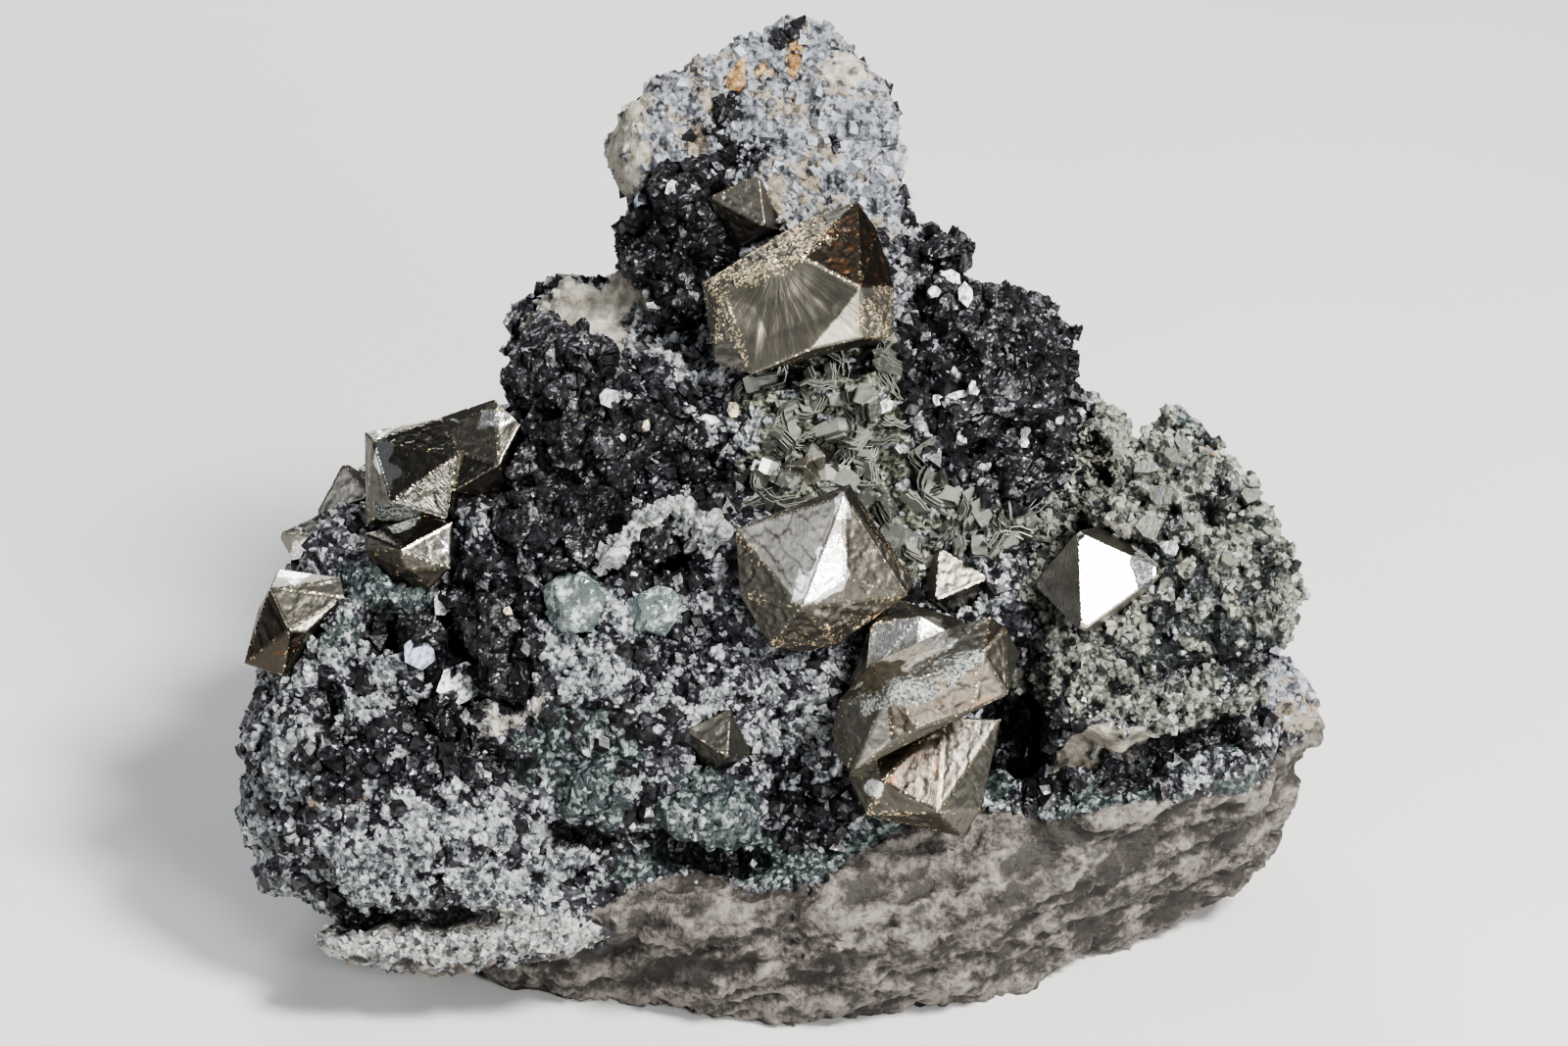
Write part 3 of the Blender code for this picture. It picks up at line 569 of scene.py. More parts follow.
def rock_finish():
    rock = Finish("rock_skin")
    broad = rock.cloud(4.0, 3.0)
    blotch = rock.cloud(1.2, 3.0, 0.6)
    speck = rock.cloud(0.45, 2.0, 0.6)
    cells = rock.grain(0.34)
    chance = rock.first_of(cells)
    ragged = (blotch - 0.5) * 0.4 + (speck - 0.5) * 0.7

    def shows(kind, edge=0.5):
        """Where a kind shows, with a ragged edge."""
        return (rock.attribute(kind) + ragged).between(edge - 0.12, edge + 0.12)

    black = rock.mixed(speck.between(0.4, 0.7), (0.007, 0.007, 0.010), (0.040, 0.038, 0.048))
    # Painted glints: a few cells of the black ore are painted pale grey, as sparkles of light.
    colour = rock.mixed((chance + speck * 0.4).between(1.08, 1.13), black, (0.30, 0.30, 0.34))
    leaf = rock.mixed(chance, (0.055, 0.062, 0.045), (0.22, 0.225, 0.17))
    green = rock.mixed(speck.between(0.35, 0.6), (0.014, 0.018, 0.014), leaf)
    sea = rock.mixed(speck.between(0.35, 0.7), (0.012, 0.017, 0.017), (0.050, 0.064, 0.064))
    # Painted glints: a few cells of the teal rock are painted pale, as sparkles of light.
    teal = rock.mixed((chance + blotch * 0.5).between(1.02, 1.20), sea, (0.15, 0.185, 0.18))
    salt = rock.mixed(chance, (0.07, 0.075, 0.062), (0.24, 0.24, 0.205))
    crumbly = rock.attribute("crumbs") * 0.5 + speck * 0.6 + blotch * 0.4
    slab = rock.mixed(crumbly.between(0.62, 0.90), (0.012, 0.015, 0.014), salt)
    pale = rock.mixed(broad.between(0.3, 0.7), (0.15, 0.16, 0.18), (0.34, 0.36, 0.40))
    pale = rock.mixed((broad + blotch * 0.5).between(0.74, 0.86), pale, (0.22, 0.185, 0.14))
    top = rock.mixed((speck + blotch * 0.8).between(0.76, 0.92), (0.055, 0.058, 0.066), pale)
    gritty = (speck - 0.5) * 1.3 + (blotch - 0.5) * 1.1
    # Paler on the base's ridges and darker in the hollows between them, with noise over both.
    paler_on_ridges = (rock.attribute("ridge") * 0.9 + (broad - 0.5) * 1.5 + gritty - 0.25).between(0.0, 1.0)
    earth = rock.mixed(paler_on_ridges, (0.024, 0.020, 0.017), (0.20, 0.18, 0.16))
    cream = rock.mixed(blotch.between(0.3, 0.7), (0.15, 0.135, 0.105), (0.40, 0.375, 0.32))
    grit = rock.mixed((speck + blotch * 0.5).between(0.55, 0.85), (0.05, 0.048, 0.044), (0.36, 0.35, 0.32))
    stain = rock.mixed(speck.between(0.35, 0.65), (0.15, 0.075, 0.030), (0.34, 0.23, 0.10))
    frosty = (chance * 0.35 + speck * 0.9 + blotch * 0.5).between(0.55, 1.10)
    sugar = rock.mixed(frosty, (0.020, 0.022, 0.026), (0.32, 0.335, 0.345))

    colour = rock.mixed(shows("green"), colour, green)
    colour = rock.mixed(shows("teal"), colour, teal)
    colour = rock.mixed(shows("sugar"), colour, sugar)
    colour = rock.mixed(shows("slab"), colour, slab)
    colour = rock.mixed(shows("top"), colour, top)
    colour = rock.mixed(shows("base"), colour, earth)
    colour = rock.mixed(shows("cream"), colour, cream)
    colour = rock.mixed(shows("ledge"), colour, grit)
    colour = rock.mixed(shows("rust", 0.6), colour, stain)
    # Painted shade: the hollows are darkened to near black, as the shadow in them.
    colour = rock.mixed(rock.attribute("deep_hollow_shade") * 0.9, colour, (0.004, 0.004, 0.004))

    bare = rock.attribute("base") + rock.attribute("cream") * 0.8 + rock.attribute("top") * 0.5
    lean = 0.75 - bare.between(0.0, 1.0) * 0.5
    rough = 0.40 + bare.between(0.0, 1.0) * 0.35 + (speck - 0.5) * 0.3
    shine = shows("ore") * 0.55
    normal = rock.faceted(cells, lean, rock.bumped(speck, 0.16))
    return rock.shaded(Base_Color=colour, Roughness=rough, Metallic=shine, Normal=normal)


rock = make_rock()
rock.data.materials.clear()
rock.data.materials.append(rock_finish())
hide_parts("host_rock")
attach(rock, "root")


# Small grown things are scattered by Geometry Nodes: a few shapes of a kind stand in a collection,
# and the tree sets them all over a ground mesh, thickest where the ground's own attribute says.
def gathered_shapes(name, meshes):
    """A collection that holds one object for each shape."""
    shelf = bpy.data.collections.new(name)
    for index, mesh in enumerate(meshes):
        shelf.objects.link(bpy.data.objects.new(f"{name}_{index}", mesh))
    return shelf


def scatter_tree(name, shelf, where, finish):
    """The tree that sets a collection's shapes on the ground that it is given."""
    tree = bpy.data.node_groups.new(name, "GeometryNodeTree")
    web = Web(tree)
    tree.interface.new_socket("Geometry", in_out="INPUT", socket_type="NodeSocketGeometry")
    for label in ("Density", "Smallest", "Largest", "Sink", "Lean"):
        tree.interface.new_socket(label, in_out="INPUT", socket_type="NodeSocketFloat")
    tree.interface.new_socket("Seed", in_out="INPUT", socket_type="NodeSocketInt")
    tree.interface.new_socket("Geometry", in_out="OUTPUT", socket_type="NodeSocketGeometry")
    given = web.node("NodeGroupInput")
    seed = given.other("Seed")
    cover = web.node("GeometryNodeInputNamedAttribute", {"data_type": "FLOAT"}, {"Name": where})
    points = web.node(
        "GeometryNodeDistributePointsOnFaces", {"distribute_method": "RANDOM"},
        {"Mesh": given, "Density": cover * given.other("Density"), "Seed": seed},
    )
    down = web.node(
        "ShaderNodeVectorMath", {"operation": "SCALE"},
        {0: points.other("Normal"), "Scale": given.other("Sink") * -1.0},
    )
    sunk = web.node("GeometryNodeSetPosition", {}, {"Geometry": points, "Offset": down})
    size = web.node(
        "FunctionNodeRandomValue", {"data_type": "FLOAT"},
        {2: given.other("Smallest"), 3: given.other("Largest"), "Seed": seed}, out=1,
    )
    spin = web.node(
        "FunctionNodeRandomValue", {"data_type": "FLOAT_VECTOR"},
        {0: (-math.pi,) * 3, 1: (math.pi,) * 3, "Seed": seed},
    )
    lean = given.other("Lean")
    freedom = web.node("ShaderNodeCombineXYZ", {}, {0: lean, 1: lean, 2: 1.0})
    leaning = web.node("ShaderNodeVectorMath", {"operation": "MULTIPLY"}, {0: spin, 1: freedom})
    turn = web.node("FunctionNodeEulerToRotation", {}, {0: leaning})
    turned = web.node(
        "FunctionNodeRotateRotation", {"rotation_space": "LOCAL"}, {0: points.other("Rotation"), 1: turn},
    )
    shapes = web.node(
        "GeometryNodeCollectionInfo", {"transform_space": "ORIGINAL"},
        {"Collection": shelf, "Separate Children": True, "Reset Children": True},
    )
    placed = web.node(
        "GeometryNodeInstanceOnPoints", {},
        {"Points": sunk, "Instance": shapes, "Pick Instance": True, "Rotation": turned, "Scale": size},
    )
    shade = web.node("FunctionNodeRandomValue", {"data_type": "FLOAT"}, {2: 0.0, 3: 1.0, "Seed": 5}, out=1)
    marked = web.node(
        "GeometryNodeStoreNamedAttribute", {"data_type": "FLOAT", "domain": "INSTANCE"},
        {"Geometry": placed, "Name": "shade", "Value": shade},
    )
    real = web.node("GeometryNodeRealizeInstances", {}, {"Geometry": marked})
    shown = web.node("GeometryNodeSetMaterial", {}, {"Geometry": real, "Material": finish})
    web.node("NodeGroupOutput", {}, {0: shown})
    return tree


def scattered(name, ground, shapes, where, finish, per_mm2, sizes, sink, lean=1.0, seed=1):
    """A piece of many small shapes grown on the ground. Sizes and sink are in mm."""
    shelf = gathered_shapes(name + "_shape", shapes)
    tree = scatter_tree(name, shelf, where, finish)
    piece = new_piece(name, ground.data.copy())
    grown = piece.modifiers.new("grown", "NODES")
    grown.node_group = tree
    values = {
        "Density": per_mm2 / (MM * MM),
        "Smallest": sizes[0] * MM,
        "Largest": sizes[1] * MM,
        "Sink": sink * MM,
        "Lean": lean,
        "Seed": seed,
    }
    for item in tree.interface.items_tree:
        if item.in_out == "INPUT" and item.name in values:
            grown[item.identifier] = values[item.name]
    applied(piece)
    for shape in list(shelf.objects):
        bpy.data.objects.remove(shape)
    bpy.data.collections.remove(shelf)
    place_points(piece.data, points_of(piece.data))
    return piece


def hull_shape(name, points):
    """A small closed shape round some points."""
    bm = bmesh.new()
    for point in points:
        bm.verts.new(point)
    bmesh.ops.convex_hull(bm, input=bm.verts)
    bmesh.ops.delete(bm, geom=[v for v in bm.verts if not v.link_faces], context="VERTS")
    bmesh.ops.recalc_face_normals(bm, faces=bm.faces)
    mesh = bpy.data.meshes.new(name)
    bm.to_mesh(mesh)
    bm.free()
    return mesh


# The druse: sugary white and grey grains of feldspar and quartz under half a millimetre across, which
# crust the black rock in clumps, and coarser worn grains on the grey slab and the pale top block.
def blocky_grains(count, seed, flatness=1.0):
    """Grains like knocked cubes, one unit across."""
    pick = random.Random(seed)
    grains = []
    for index in range(count):
        corners = []
        for x, y, z in CUBE_CORNERS:
            knocks = [pick.uniform(-0.2, 0.2) for _ in range(3)]
            corners.append(Vector((x / 2 + knocks[0], y / 2 + knocks[1], (z / 2 + knocks[2]) * flatness)))
        grains.append(hull_shape(f"grain_{seed}_{index}", corners))
    return grains


def grain_finish(name, darkest, palest, rough):
    """Grains that run from dark to pale, each one colour with a little cloudiness."""
    grains = Finish(name)
    shade = grains.attribute("shade")
    mottle = (grains.cloud(1.2, 3.0, 0.65) - 0.5) * 2.4
    tone = grains.mixed((shade * 0.8 + mottle + 0.05).between(0.0, 1.0), darkest, palest)
    return grains.shaded(Base_Color=tone, Roughness=rough + shade * 0.25)


CUBE_CORNERS = [(x, y, z) for x in (-1, 1) for y in (-1, 1) for z in (-1, 1)]
druse_grains = scattered(
    "druse_grains", rock, blocky_grains(4, 11), "sugar",
    grain_finish("druse_grain", (0.030, 0.032, 0.036), (0.36, 0.375, 0.385), 0.25),
    per_mm2=3.6, sizes=(0.18, 0.46), sink=0.06, seed=3,
)
slab_grains = scattered(
    "slab_grains", rock, blocky_grains(4, 12, 0.7), "crumbs",
    grain_finish("slab_grain", (0.014, 0.018, 0.016), (0.27, 0.27, 0.235), 0.30),
    per_mm2=4.0, sizes=(0.22, 0.62), sink=0.08, seed=4,
)
top_grains = scattered(
    "top_grains", rock, blocky_grains(3, 13), "top",
    grain_finish("top_grain", (0.04, 0.04, 0.05), (0.36, 0.38, 0.41), 0.45),
    per_mm2=0.45, sizes=(0.25, 0.8), sink=0.14, seed=5,
)


# The mica and chlorite: thin bent leaves one to three millimetres long, in wavy books that stand up
# from the green rock at every angle.
def leaf_book(name, leaves, bend, seed):
    """A book of bent leaves, one unit long, each leaf a thin closed plate."""
    pick = random.Random(seed)
    bm = bmesh.new()
    for leaf in range(leaves):
        gap = (leaf - leaves / 2) * 0.048
        length, width = pick.uniform(0.7, 1.0), pick.uniform(0.35, 0.55)
        slide, thickness = pick.uniform(-0.2, 0.2), 0.028
        rows = []
        for step in range(6):
            along = step / 5.0 - 0.5
            wave = 0.05 * math.sin(along * 9.0 + seed)
            arc = bend * along * along + wave + gap * (1.0 + 0.6 * along)
            narrow = width * (1.0 - 0.9 * along * along)
            rows.append([
                bm.verts.new((along * length + slide, side * narrow, arc + lift * thickness))
                for side, lift in ((-0.5, -0.5), (0.5, -0.5), (0.5, 0.5), (-0.5, 0.5))
            ])
        for near, far in zip(rows, rows[1:]):
            for k in range(4):
                bm.faces.new((near[k], near[(k + 1) % 4], far[(k + 1) % 4], far[k]))
        bm.faces.new(rows[0])
        bm.faces.new(rows[-1][::-1])
    bmesh.ops.recalc_face_normals(bm, faces=bm.faces)
    bmesh.ops.rotate(bm, verts=bm.verts, matrix=Matrix.Rotation(math.pi / 2, 3, "X"))
    bmesh.ops.translate(bm, verts=bm.verts, vec=(0.0, 0.0, 0.12))
    mesh = bpy.data.meshes.new(name)
    bm.to_mesh(mesh)
    bm.free()
    return mesh


def leaf_finish():
    leaf = Finish("chlorite_leaf")
    shade = leaf.attribute("shade")
    streak = leaf.cloud(0.4, 3.0)
    tone = leaf.mixed(shade, (0.034, 0.037, 0.030), (0.22, 0.22, 0.19))
    tone = leaf.mixed(streak.between(0.5, 0.7), tone, (0.20, 0.215, 0.20))
    return leaf.shaded(Base_Color=tone, Roughness=0.34, Coat_Weight=shade * 0.3)


chlorite_leaves = scattered(
    "chlorite_leaves", rock, [leaf_book(f"book_{i}", 5 + i % 2, 0.2 + 0.4 * i, 20 + i) for i in range(4)],
    "green", leaf_finish(), per_mm2=0.40, sizes=(1.3, 3.3), sink=0.15, lean=0.35, seed=6,
)


# The magnetite: a skin of black crystals up to about two millimetres across, blunt dodecahedra and
# octahedra, over every dark patch of the rock, and six crusts of far larger ones grown together. Their
# faces are stepped and overgrown, with small crystals again on top.
def dodecahedron(size=0.5):
    corners = [Vector(corner) for corner in CUBE_CORNERS]
    corners += [Vector(tip) * s for s in (-2, 2) for tip in ((1, 0, 0), (0, 1, 0), (0, 0, 1))]
    return [corner * size / 2.0 for corner in corners]


def octahedron(size=0.55):
    return [Vector(tip) * s * size for s in (-1, 1) for tip in ((1, 0, 0), (0, 1, 0), (0, 0, 1))]


def magnetite_finish(name, cell):
    """Black with a violet cast, glittering in cells of that size in mm: each cell leans its own way, and a
    few are painted pale as painted glints.
    """
    black = Finish(name)
    cells = black.grain(cell)
    chance = black.first_of(cells)
    cloudy = black.cloud(0.7, 4.0, 0.65)
    scratch = black.cloud(1.0, 3.0, 0.6, at=black.stretched((0.09, 1.6, 0.35), (0.4, 0.9, 0.2)))
    tone = black.mixed(cloudy.between(0.35, 0.7), (0.012, 0.0115, 0.013), (0.060, 0.058, 0.064))
    # Painted glints: a few cells are painted pale grey, as sparkles of light.
    tone = black.mixed((chance + cloudy * 0.3).between(1.10, 1.17), tone, (0.40, 0.40, 0.44))
    rough = 0.20 + cloudy * 0.25
    normal = black.faceted(cells, 0.20, black.bumped(scratch, 0.05))
    return black.shaded(Base_Color=tone, Roughness=rough, Metallic=0.7, Normal=normal)


def crust_relief(place):
    """Steps and small facets on the large crystals, in mm."""
    steps = 1.00 * tilted_cells(place, 2.8) + 0.30 * tilted_cells(place, 1.0)
    return steps + 0.20 * noise.noise(place / 2.2) - 0.15


CRUST_CELL = 0.24  # mm
MAGNETITE_CRUSTS = [node for node in frame["nodes"] if node.startswith("magnetite_")]
crust_finish = magnetite_finish("magnetite_crust", 0.20)
crust_ground = bmesh.new()
crusts = []
for node in MAGNETITE_CRUSTS:
    crust = even_skin(node + "_grown", merged(node), CRUST_CELL)
    push_out(crust.data, [crust_relief(Vector(point) / MM) for point in points_of(crust.data)])
    crust.data.materials.append(crust_finish)
    crust_ground.from_mesh(crust.data)
    crusts.append(crust)
    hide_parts(node)
    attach(crust, "root")

small_crystals = [
    hull_shape("small_dodecahedron", dodecahedron()),
    hull_shape("small_octahedron", octahedron()),
]
small_finish = magnetite_finish("small_magnetite", 0.26)
small_magnetite = scattered(
    "small_magnetite", rock, small_crystals, "ore", small_finish,
    per_mm2=1.5, sizes=(0.40, 2.0), sink=0.15, seed=7,
)
ground_mesh = bpy.data.meshes.new("crust_ground")
crust_ground.to_mesh(ground_mesh)
crust_ground.free()
store(ground_mesh, "ore", np.ones(len(ground_mesh.vertices)))
ground = bpy.data.objects.new("crust_ground", ground_mesh)
crust_magnetite = scattered(
    "crust_magnetite", ground, [shape.copy() for shape in small_crystals], "ore", small_finish,
    per_mm2=0.30, sizes=(0.30, 0.95), sink=0.1, seed=8,
)
bpy.data.objects.remove(ground)

for piece, slot in (
    (druse_grains, "host_rock"), (slab_grains, "host_rock"), (top_grains, "host_rock"),
    (chlorite_leaves, "host_rock"), (small_magnetite, "magnetite"), (crust_magnetite, "magnetite"),
):
    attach(piece, "root")


# The calcite: two clear, pale blue-green crystals beside the magnetite, frosted white over part of
# their faces.
def calcite_finish():
    clear = Finish("calcite_clear")
    frost = clear.cloud(1.6, 3.0, 0.6) + (clear.cloud(0.4, 2.0) - 0.5) * 0.4
    bump = clear.bumped(clear.cloud(0.5, 2.0), 0.03)
    inside = {
        "Base Color": (0.50, 0.62, 0.60), "Roughness": 0.12, "IOR": 1.6, "Transmission Weight": 0.85,
        "Normal": bump,
    }
    white = clear.mixed(clear.cloud(0.6, 3.0).between(0.35, 0.65), (0.14, 0.175, 0.17), (0.46, 0.50, 0.50))
    outside = {"Base Color": white, "Roughness": 0.5, "Normal": bump}
    glassy = clear.node("ShaderNodeBsdfPrincipled", {}, inside)
    frosted = clear.node("ShaderNodeBsdfPrincipled", {}, outside)
    share = frost.between(0.46, 0.60) * 0.85
    surface = clear.node("ShaderNodeMixShader", {}, {0: share, 1: glassy, 2: frosted})
    clear.node("ShaderNodeOutputMaterial", {}, {"Surface": surface})
    return clear.material


calcite_material = calcite_finish()
for node in ("calcite_large", "calcite_small"):
    calcite = even_skin(node + "_frosted", merged(node), CRUST_CELL)
    places = [Vector(point) / MM for point in points_of(calcite.data)]
    push_out(calcite.data, [0.50 * tilted_cells(p, 1.9) + 0.06 * noise.noise(p / 0.5) - 0.05 for p in places])
    calcite.data.materials.append(calcite_material)
    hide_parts(node)
    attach(calcite, "root")


# The white arch: a crust of feldspar that bridges a dark hollow above the calcite, knobbly along its
# lower edge. It is laid along places of the picture, on whatever lies there.
def skin_finder(pieces):
    """A function that gives the point of those pieces which shows at a place of the picture, in metres."""
    points, faces = [], []
    for piece in pieces:
        start = len(points)
        points.extend(vertex.co.copy() for vertex in piece.data.vertices)
        faces.extend([start + corner for corner in polygon.vertices] for polygon in piece.data.polygons)
    tree = BVHTree.FromPolygons(points, faces)

    def shown_at(across, up):
        eye = seen(0.0, 0.0, -VIEW_REACH)
        return tree.ray_cast(eye, (seen(across, up, 0.0) - eye).normalized())[0]

    return shown_at


shown_at = skin_finder([rock, *crusts])
# Middle of the crust across and up in the picture, and its radius, in mm.
ARCH_RUN = (
    ((-13.5, -3.3), 0.75), ((-12.9, -2.4), 0.95), ((-12.1, -1.5), 0.95), ((-11.2, -0.7), 0.85),
    ((-10.2, 0.2), 0.9), ((-9.2, 0.9), 0.95), ((-8.0, 0.9), 1.15), ((-6.9, 0.3), 1.3),
    ((-5.8, -0.2), 1.25), ((-4.8, -0.8), 0.9),
)
ARCH_KNOBS = (
    ((-7.4, -1.3), 0.5), ((-6.6, -1.7), 0.55), ((-5.8, -1.9), 0.5), ((-5.0, -1.6), 0.5), ((-4.5, -1.0), 0.5),
)
ARCH_LIFT = 0.5  # how far its middle stands before what it lies on, mm
ARCH_CELL = 0.2  # mm


def arch_relief(place):
    """How far the knobbly crust stands out at a place, in mm."""
    rise = 0.45 * tilted_cells(place, 0.55) + 0.4 * noise.noise(place / 0.9)
    return rise + 0.7 * noise.noise(place / 2.0)


arch_balls = bmesh.new()
for (across, up), radius in ARCH_RUN + ARCH_KNOBS:
    middle = shown_at(across, up) - AWAY * ARCH_LIFT * MM
    place = Matrix.Translation(middle)
    bmesh.ops.create_icosphere(arch_balls, subdivisions=2, radius=radius * MM, matrix=place)
arch = even_skin("white_arch", arch_balls, ARCH_CELL)
push_out(arch.data, [arch_relief(Vector(point) / MM) for point in points_of(arch.data)])
arch_grit = Finish("arch_crust")
arch_cells = arch_grit.grain(0.3)
arch_cloud = arch_grit.cloud(0.9, 3.0).between(0.35, 0.6)
arch_tone = arch_grit.mixed(arch_cloud, (0.10, 0.112, 0.105), (0.38, 0.39, 0.375))
arch.data.materials.append(arch_grit.shaded(
    Base_Color=arch_tone, Roughness=0.5, Normal=arch_grit.faceted(arch_cells, 0.5),
))
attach(arch, "root")


# Pearly flakes: cleavage faces of mica and feldspar that catch the light, each a small flat block sunk
# in the skin, and gold ones that are painted glints. Most are turned to shine at whoever looks from the
# front.
# The brown mica stands askew.
# The gold tone is painted glints: a pale gold colour where light flashes. The other tones are the flakes'
# own.
FLAKE_TONES = {
    "white": (0.66, 0.68, 0.67), "blue": (0.34, 0.40, 0.54), "pink": (0.42, 0.38, 0.41),
    "grey": (0.34, 0.37, 0.37), "gold": (0.62, 0.54, 0.30), "mica": (0.13, 0.135, 0.10),
    "amber": (0.30, 0.21, 0.09),
}
# Tone, middle across and up in the picture, half sizes in mm.
FLAKES = (
    ("white", (12.1, 18.0), (0.95, 0.75)), ("white", (13.3, 16.7), (0.75, 0.85)),
    ("white", (11.0, 17.0), (0.5, 0.5)), ("white", (12.7, 9.1), (1.0, 0.62)),
    ("white", (13.9, 9.9), (0.55, 0.62)), ("white", (11.2, 9.0), (0.5, 0.5)),
    ("white", (7.2, 8.6), (0.75, 0.6)), ("white", (13.0, 6.1), (0.45, 0.35)),
    ("blue", (-26.9, -9.7), (1.35, 1.3)), ("white", (-23.8, -12.0), (1.7, 1.45)),
    ("pink", (-25.3, -6.0), (0.7, 1.25)), ("grey", (-13.0, 9.1), (0.9, 0.75)),
    ("gold", (-14.5, 8.0), (0.35, 0.35)), ("gold", (-10.2, 7.1), (0.35, 0.5)),
    ("gold", (-8.3, 14.0), (0.42, 0.36)), ("white", (-9.4, 15.9), (0.85, 0.35)),
    ("white", (-5.7, 7.5), (0.8, 0.45)), ("pink", (-8.3, 24.6), (0.6, 0.8)),
    ("blue", (-10.6, 23.6), (0.5, 0.6)), ("gold", (-3.8, 8.2), (0.5, 0.7)),
    ("gold", (-20.4, -6.5), (0.4, 0.3)), ("white", (-11.9, 6.2), (0.3, 0.3)),
    ("white", (17.6, 5.9), (0.4, 0.5)), ("pink", (20.2, 7.5), (0.4, 0.35)),
    ("mica", (29.4, 6.1), (0.8, 0.8)), ("amber", (31.5, 5.1), (0.7, 0.6)),
    ("mica", (28.5, 4.7), (0.8, 1.0)), ("mica", (26.6, 4.0), (1.0, 0.6)),
    ("mica", (27.9, 2.0), (1.0, 0.9)), ("mica", (26.7, -0.5), (0.9, 1.1)),
    ("mica", (32.7, -2.8), (0.7, 0.7)), ("mica", (34.3, 2.0), (0.9, 0.8)),
    ("grey", (28.3, -1.9), (0.8, 0.6)),
)
FLAKE_LEANS = {"mica": 0.55, "amber": 0.55}  # the most that is added to each part of its facing
LEAST_FLAKE_LEAN = 0.04
FLAKE_CORNERS = 6
FLAKE_DEPTH = 0.9  # mm
FLAKE_LIFT = 0.15  # mm, and more for a large one
pick = random.Random(31)
flake_mesh = bmesh.new()
flake_colours = []
for tone, (across, up), half in FLAKES:
    middle = shown_at(across, up)
    to_key = (KEY_PLACE - middle).normalized()
    to_eye = (seen(0.0, 0.0, -VIEW_REACH) - middle).normalized()
    lean = FLAKE_LEANS.get(tone, LEAST_FLAKE_LEAN)
    askew = Vector([pick.uniform(-lean, lean) for _ in range(3)])
    facing = ((to_key + to_eye).normalized() + askew).normalized()
    side = facing.cross(UP).normalized()
    top = side.cross(facing)
    corners = []
    start = pick.uniform(0.0, 1.0)
    for corner in range(FLAKE_CORNERS):
        angle, reach = (corner + start) * math.tau / FLAKE_CORNERS, pick.uniform(0.75, 1.25)
        across_flake = side * half[0] * reach * math.cos(angle) + top * half[1] * reach * math.sin(angle)
        front = middle + (across_flake + facing * (FLAKE_LIFT + 0.3 * max(half))) * MM
        corners += [front, front - (across_flake * 0.3 + facing * FLAKE_DEPTH) * MM]
    block = hull_shape("flake", corners)
    flake_colours += [(*FLAKE_TONES[tone], 1.0)] * len(block.vertices)
    flake_mesh.from_mesh(block)
mesh = bpy.data.meshes.new("pearly_flakes")
flake_mesh.to_mesh(mesh)
flake_mesh.free()
mesh.attributes.new("tone", "FLOAT_COLOR", "POINT").data.foreach_set("color", np.array(flake_colours).ravel())
pearl = Finish("pearly_flake")
pearl_tone = pearl.node("ShaderNodeAttribute", {"attribute_name": "tone"}, out="Color")
flecks = pearl.cloud(1.0, 3.0, 0.6, at=pearl.stretched((0.2, 1.2, 0.5), (0.3, 0.5, 0.7)))
pearl_tone = pearl.mixed(flecks.between(0.42, 0.62), pearl_tone, (0.09, 0.095, 0.105))
pearly_flakes = new_piece("pearly_flakes", mesh, pearl.shaded(
    Base_Color=pearl_tone, Roughness=0.25 + flecks * 0.3, Normal=pearl.bumped(flecks, 0.22),
))
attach(pearly_flakes, "root")


# The pyrite: brassy octahedra up to 17 mm from tip to tip, grown one into another and steeped in the
# rock. Their faces carry growth steps, scratches and brown tarnish, their edges are worn to bright brass,
# and the upper one is broken across in a ribbed shell.
MOST_HALVINGS = 12
CREASE_ANGLE = 24.0  # degrees between two small faces, past which the edge between them shows


class FlatFace:
    """One flat face of a crystal: the way it faces, and the edges round it as pairs of points in mm."""

    def __init__(self, normal, edges, seed):
        self.normal = normal
        self.starts = np.array([edge[0] for edge in edges])
        self.ends = np.array([edge[1] for edge in edges])
        pick = random.Random(seed)
        self.along = normal.orthogonal().normalized()
        self.along.rotate(Matrix.Rotation(pick.uniform(0.0, math.pi), 3, normal))
        self.beside = normal.cross(self.along)
        self.middle = Vector(self.starts.mean(axis=0)) + self.along * pick.uniform(-1.5, 1.5)

    def reach(self, places):
        """How far each place is from the nearest edge, in mm."""
        runs = self.ends - self.starts
        lengths = (runs * runs).sum(axis=1)
        offsets = places[:, None, :] - self.starts[None]
        shares = np.clip((offsets * runs[None]).sum(axis=2) / lengths[None], 0.0, 1.0)
        misses = offsets - runs[None] * shares[:, :, None]
        return np.sqrt((misses * misses).sum(axis=2)).min(axis=1)


def crystal_cells(node, cell, together):
    """The CAD crystal cut into triangles of about that size in mm, with its flat faces."""
    bm = merged(node)
    bmesh.ops.dissolve_limit(bm, angle_limit=math.radians(1.0), verts=bm.verts, edges=bm.edges)
    owner = bm.faces.layers.int.new("flat_face")
    groups = []
    joined = None
    for face in bm.faces:
        if together and face.normal.dot(together[0]) > together[1]:
            if joined is None:
                joined = len(groups)
                groups.append([])
            face[owner] = joined
        else:
            face[owner] = len(groups)
            groups.append([])
        groups[face[owner]].append(face)
    flat_faces = []
    for index, group in enumerate(groups):
        normal = sum((face.normal * face.calc_area() for face in group), Vector()).normalized()
        edges = [
            (edge.verts[0].co / MM, edge.verts[1].co / MM)
            for face in group for edge in face.edges
            if any(other[owner] != index for other in edge.link_faces)
        ]
        flat_faces.append(FlatFace(normal, edges, index))
    bmesh.ops.triangulate(bm, faces=bm.faces)
    for _ in range(MOST_HALVINGS):
        for edge in sorted(long_edges(bm, cell), key=bmesh.types.BMEdge.calc_length, reverse=True):
            halve(edge)
    return bm, owner, flat_faces


def long_edges(bm, cell):
    return [edge for edge in bm.edges if edge.calc_length() > cell * MM]


